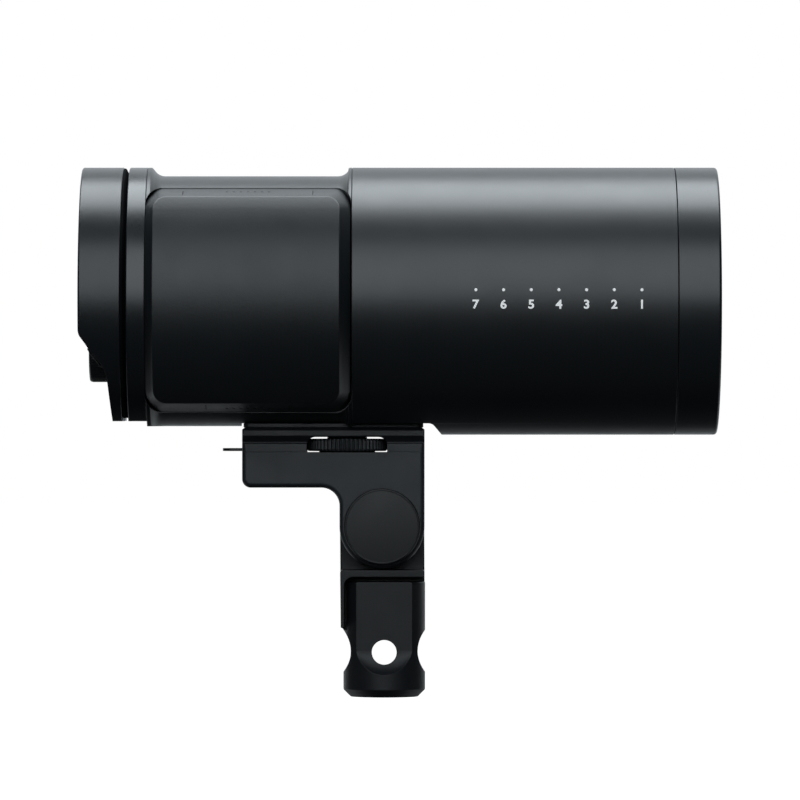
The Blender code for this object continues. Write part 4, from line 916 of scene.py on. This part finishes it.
# ------------------------------------------------------------ stem
turned = fillet([(0, 0), (0, R_STEM - 2.7), (2.7, R_STEM), (43.0, R_STEM), (43.0, 0)], [0, 0.5, 0.8, 0.5, 0], 6, closed=False)
stem = to_object("stem", lathe(turned, 160, "Z"))
tongue = ([(-16.1, 24.0), (15.2, 24.0), (PIVOT_X + R_TONGUE, PIVOT_Z)] + arc(PIVOT_X, PIVOT_Z, R_TONGUE, 0, 180, 64)[1:-1] + [(PIVOT_X - R_TONGUE, PIVOT_Z), (-16.4, 40.0)])
tongue = bevel(to_object("tool_tongue", prism(tongue, "Y", 1.0, 12.0)), 0.8, 4, 45)
bake(tongue)
# the collar round the top left of the turned part, a narrow gap away from it
collar = fillet([(-16.2, 26.0), (-16.45, 47.55), (X_BLOCK1, 47.55), (X_BLOCK1, 44.9), (-14.85, 44.9), (-14.85, 26.0)], [0, 1.0, 0.8, 0.3, 3.2, 0], 8)
collar = bevel(to_object("tool_collar", prism(collar, "Y", -12.9, 2.0)), 0.55, 3, 50)
bake(collar)
scoop = [(-20, 60), (FLAT_Y, 60), (FLAT_Y, 17.5)] + smooth_line([(FLAT_Y, 17.5), (-11.35, 15.6), (-11.9, 13.4), (-12.9, 11.2), (-14.1, 9.6), (-15.6, 8.2)], 5)[1:] + [(-20, 5.0)]


def ramp_tool():
    """Cuts the flat and, below it, a dished ramp whose lower edge is a shallow U."""
    bm = bmesh.new()
    rows = []
    xs = [-20 + 40 * i / 48 for i in range(49)]
    for y, z in scoop:
        row = []
        for x in xs:
            zz = z
            if z < 17.6:
                bow = min(1.0, abs(x) / 10.6)
                zz = z + (17.6 - z) * 0.42 * bow ** 2.6
            row.append(bm.verts.new((x, y, zz)))
        rows.append(row)
    n = len(rows)
    for a in range(n):
        b = (a + 1) % n
        for i in range(len(xs) - 1):
            bm.faces.new((rows[a][i], rows[a][i + 1], rows[b][i + 1], rows[b][i]))
    bm.faces.new([r[0] for r in rows])
    bm.faces.new([r[-1] for r in rows][::-1])
    return bm


cut(stem, ramp_tool(), prism(fillet([(-20, 25), (-13.9, 25), (-13.9, 43.4), (-20, 43.4)], [0, 0, 0.9, 0], 6), "Y", -20, 0.7))
cut(stem, tongue, operation="UNION")
cut(stem, collar, operation="UNION")
cut(stem, *[rod("Y", -20, 20, 12.5, 128, (s * 25.0, 0, 17.1)) for s in (-1, 1)],
    lathe([(-2, 0), (-2, R_SOCKET + 0.6), (0.0, R_SOCKET + 0.6), (0.6, R_SOCKET), (SOCKET_DEPTH - 1.5, R_SOCKET), (SOCKET_DEPTH, 6.0), (SOCKET_DEPTH, 0)], 72, "Z"),
    rod("Y", -5, 20, 4.4, 48, P), rod("Y", 4, 20, 3.35, 40, (0, 0, LOCK_Z)))
cut(stem, lathe([(-20, 0), (-20, R_HOLE), (-8.0, R_HOLE), (0.0, R_HOLE + 0.9), (20, R_HOLE + 0.9), (20, 0)], 96, "Y", (0, 0, HOLE_Z)))
piece(stem, "stem", "stem", "stem", STEM)

L = (0, 0, LOCK_Z)
piece(lathe(fillet([(8.5, 0), (8.5, 2.3), (8.9, 2.9), (10.5, 2.9), (10.5, 0)], [0, 0.2, 0.1, 0.15, 0], 3, closed=False), 40, "Y", L), "lock_pad", "stand_lock_pad", "lock_pad", BRASS)
piece(threaded(3.0, 10.8, 27.5, 1.0, 0.4, "Y", L, tip=0.5), "stand_lock_screw", "stand_lock", "stand_lock_screw", STEEL, 50)
knob = to_object("stand_lock_knob", lathe(fillet([(20.0, 3.3), (20.0, 6.5), (22.0, 6.5), (22.4, 10.4), (23.2, 11.2), (30.6, 11.2), (31.6, 10.2), (31.6, 0)], [0, 0.4, 0.5, 0.4, 0.4, 0.6, 0.6, 0], 4, closed=False) + [(28.0, 0), (28.0, 3.3)], 120, "Y", L))
cut(knob, *[rod("Y", 22.1, 33, 3.0, 40, (13.0 * math.cos(math.radians(60 * k + 30)), 0, LOCK_Z + 13.0 * math.sin(math.radians(60 * k + 30)))) for k in range(6)],
    lathe([(30.9, 5.2), (30.9, 6.2), (33, 6.2), (33, 5.2)], 72, "Y", L))
bevel(knob, 0.5, 3, 40)
piece(knob, "stand_lock_knob", "stand_lock", "stand_lock_knob", KNOB)

# ------------------------------------------------------------ inner parts keep their shape
INSIDE = {
    "friction_washer": RUBBER, "capacitor_1": SLEEVE, "capacitor_2": SLEEVE, "power_board": BOARD,
    "control_board": BOARD, "battery_board": BOARD, "inverter_transformer": COPPER, "igbt_heatsink": ANODISED,
    "led_heatsink": ANODISED, "lcd_module": GLOSS, "encoder_body": STEEL, "encoder_shaft": STEEL,
    "fan_frame": PLASTIC, "fan_rotor": PLASTIC, "foot_insert": BRASS,
    "battery_cell_1": CELL, "battery_cell_2": CELL, "battery_cell_3": CELL, "battery_cell_4": CELL,
}
for name, mat in INSIDE.items():
    me = NODES[name].data
    me.materials.clear()
    me.materials.append(mat)

# ------------------------------------------------------------ studio
def emitter(name, colour, strength):
    m = bpy.data.materials.new(name)
    m.use_nodes = True
    t = m.node_tree
    t.nodes.clear()
    e, out = t.nodes.new("ShaderNodeEmission"), t.nodes.new("ShaderNodeOutputMaterial")
    e.inputs["Color"].default_value = (*colour, 1)
    e.inputs["Strength"].default_value = strength
    t.links.new(e.outputs[0], out.inputs["Surface"])
    return m


floor_mat = bpy.data.materials.new("floor")
floor_mat.use_nodes = True
b = floor_mat.node_tree.nodes["Principled BSDF"]
b.inputs["Base Color"].default_value = (0.92, 0.92, 0.92, 1)
b.inputs["Roughness"].default_value = 0.9
b.inputs["Specular IOR Level"].default_value = 0.1
b.inputs["Emission Color"].default_value = (1, 1, 1, 1)
b.inputs["Emission Strength"].default_value = 1.0
bm = bmesh.new()
bmesh.ops.create_grid(bm, x_segments=1, y_segments=1, size=14.0)
me = bpy.data.meshes.new("floor")
bm.to_mesh(me)
bm.free()
floor = bpy.data.objects.new("floor", me)
SCENE.collection.objects.link(floor)
floor.location.z = -0.12          # the head swings below the stem's end when it tilts
me.materials.append(floor_mat)
floor.visible_diffuse = False
floor.visible_glossy = False
floor.visible_shadow = False


def softbox(name, where, target, size, radiance, colour=(1, 1, 1)):
    """An area light of the given brightness, size in metres, aimed at the target."""
    data = bpy.data.lights.new(name, "AREA")
    data.shape = "RECTANGLE"
    data.size, data.size_y = size
    data.energy = radiance * math.pi * size[0] * size[1]
    data.color = colour
    ob = bpy.data.objects.new(name, data)
    ob.location = where
    ob.rotation_euler = (Vector(target) - Vector(where)).to_track_quat("-Z", "Y").to_euler()
    ob.visible_camera = False
    SCENE.collection.objects.link(ob)
    return ob


MIDDLE = (0.0, 0.0, 0.13)
COOL = (0.885, 0.956, 1.0)


def at(azimuth, elevation, distance):
    """A place seen from the middle; azimuth 0 is towards the camera, 90 towards +X."""
    a, e = math.radians(azimuth), math.radians(elevation)
    return (MIDDLE[0] + distance * math.sin(a) * math.cos(e), MIDDLE[1] - distance * math.cos(a) * math.cos(e), MIDDLE[2] + distance * math.sin(e))


softbox("top", at(180, 76, 1.7), MIDDLE, (2.2, 1.15), 7.0, COOL)
softbox("front", at(-4, 25, 2.1), MIDDLE, (1.9, 1.85), 2.3, COOL)
softbox("back", at(180, 14, 2.6), MIDDLE, (5.0, 2.9), 1.0, COOL)
softbox("right", at(75, 50, 2.0), MIDDLE, (1.0, 1.0), 0.08, COOL)
softbox("left", at(-75, 50, 2.0), MIDDLE, (1.0, 1.0), 0.12, COOL)
softbox("rear_side", at(-118, -34, 2.2), MIDDLE, (2.0, 1.3), 0.7, COOL)
softbox("front_side", at(118, -34, 2.2), MIDDLE, (2.0, 1.3), 0.7, COOL)
softbox("low_back", at(180, -23, 2.6), MIDDLE, (4.4, 1.0), 0.27, COOL)
softbox("under_back", at(180, -52, 2.6), MIDDLE, (4.0, 1.6), 0.03, COOL)
softbox("low", at(0, -50, 2.2), MIDDLE, (2.6, 2.6), 0.022, COOL)

world = bpy.data.worlds.new("studio")
SCENE.world = world
world.use_nodes = True
background = world.node_tree.nodes["Background"]
background.inputs["Color"].default_value = (1, 1, 1, 1)
background.inputs["Strength"].default_value = 1.0
world.cycles_visibility.diffuse = False
world.cycles_visibility.glossy = False
SCENE.view_settings.view_transform = "Standard"
SCENE.view_settings.look = "None"

# ------------------------------------------------------------ camera
camera_data = bpy.data.cameras.new("camera")
camera_data.sensor_width = 36.0
camera_data.lens = 324.3
camera_data.clip_start, camera_data.clip_end = 0.05, 60.0
camera = bpy.data.objects.new("camera", camera_data)
camera.location = (0.0059, -2.70, 0.1110)
camera.rotation_euler = (math.radians(90), 0, 0)
SCENE.collection.objects.link(camera)
SCENE.camera = camera
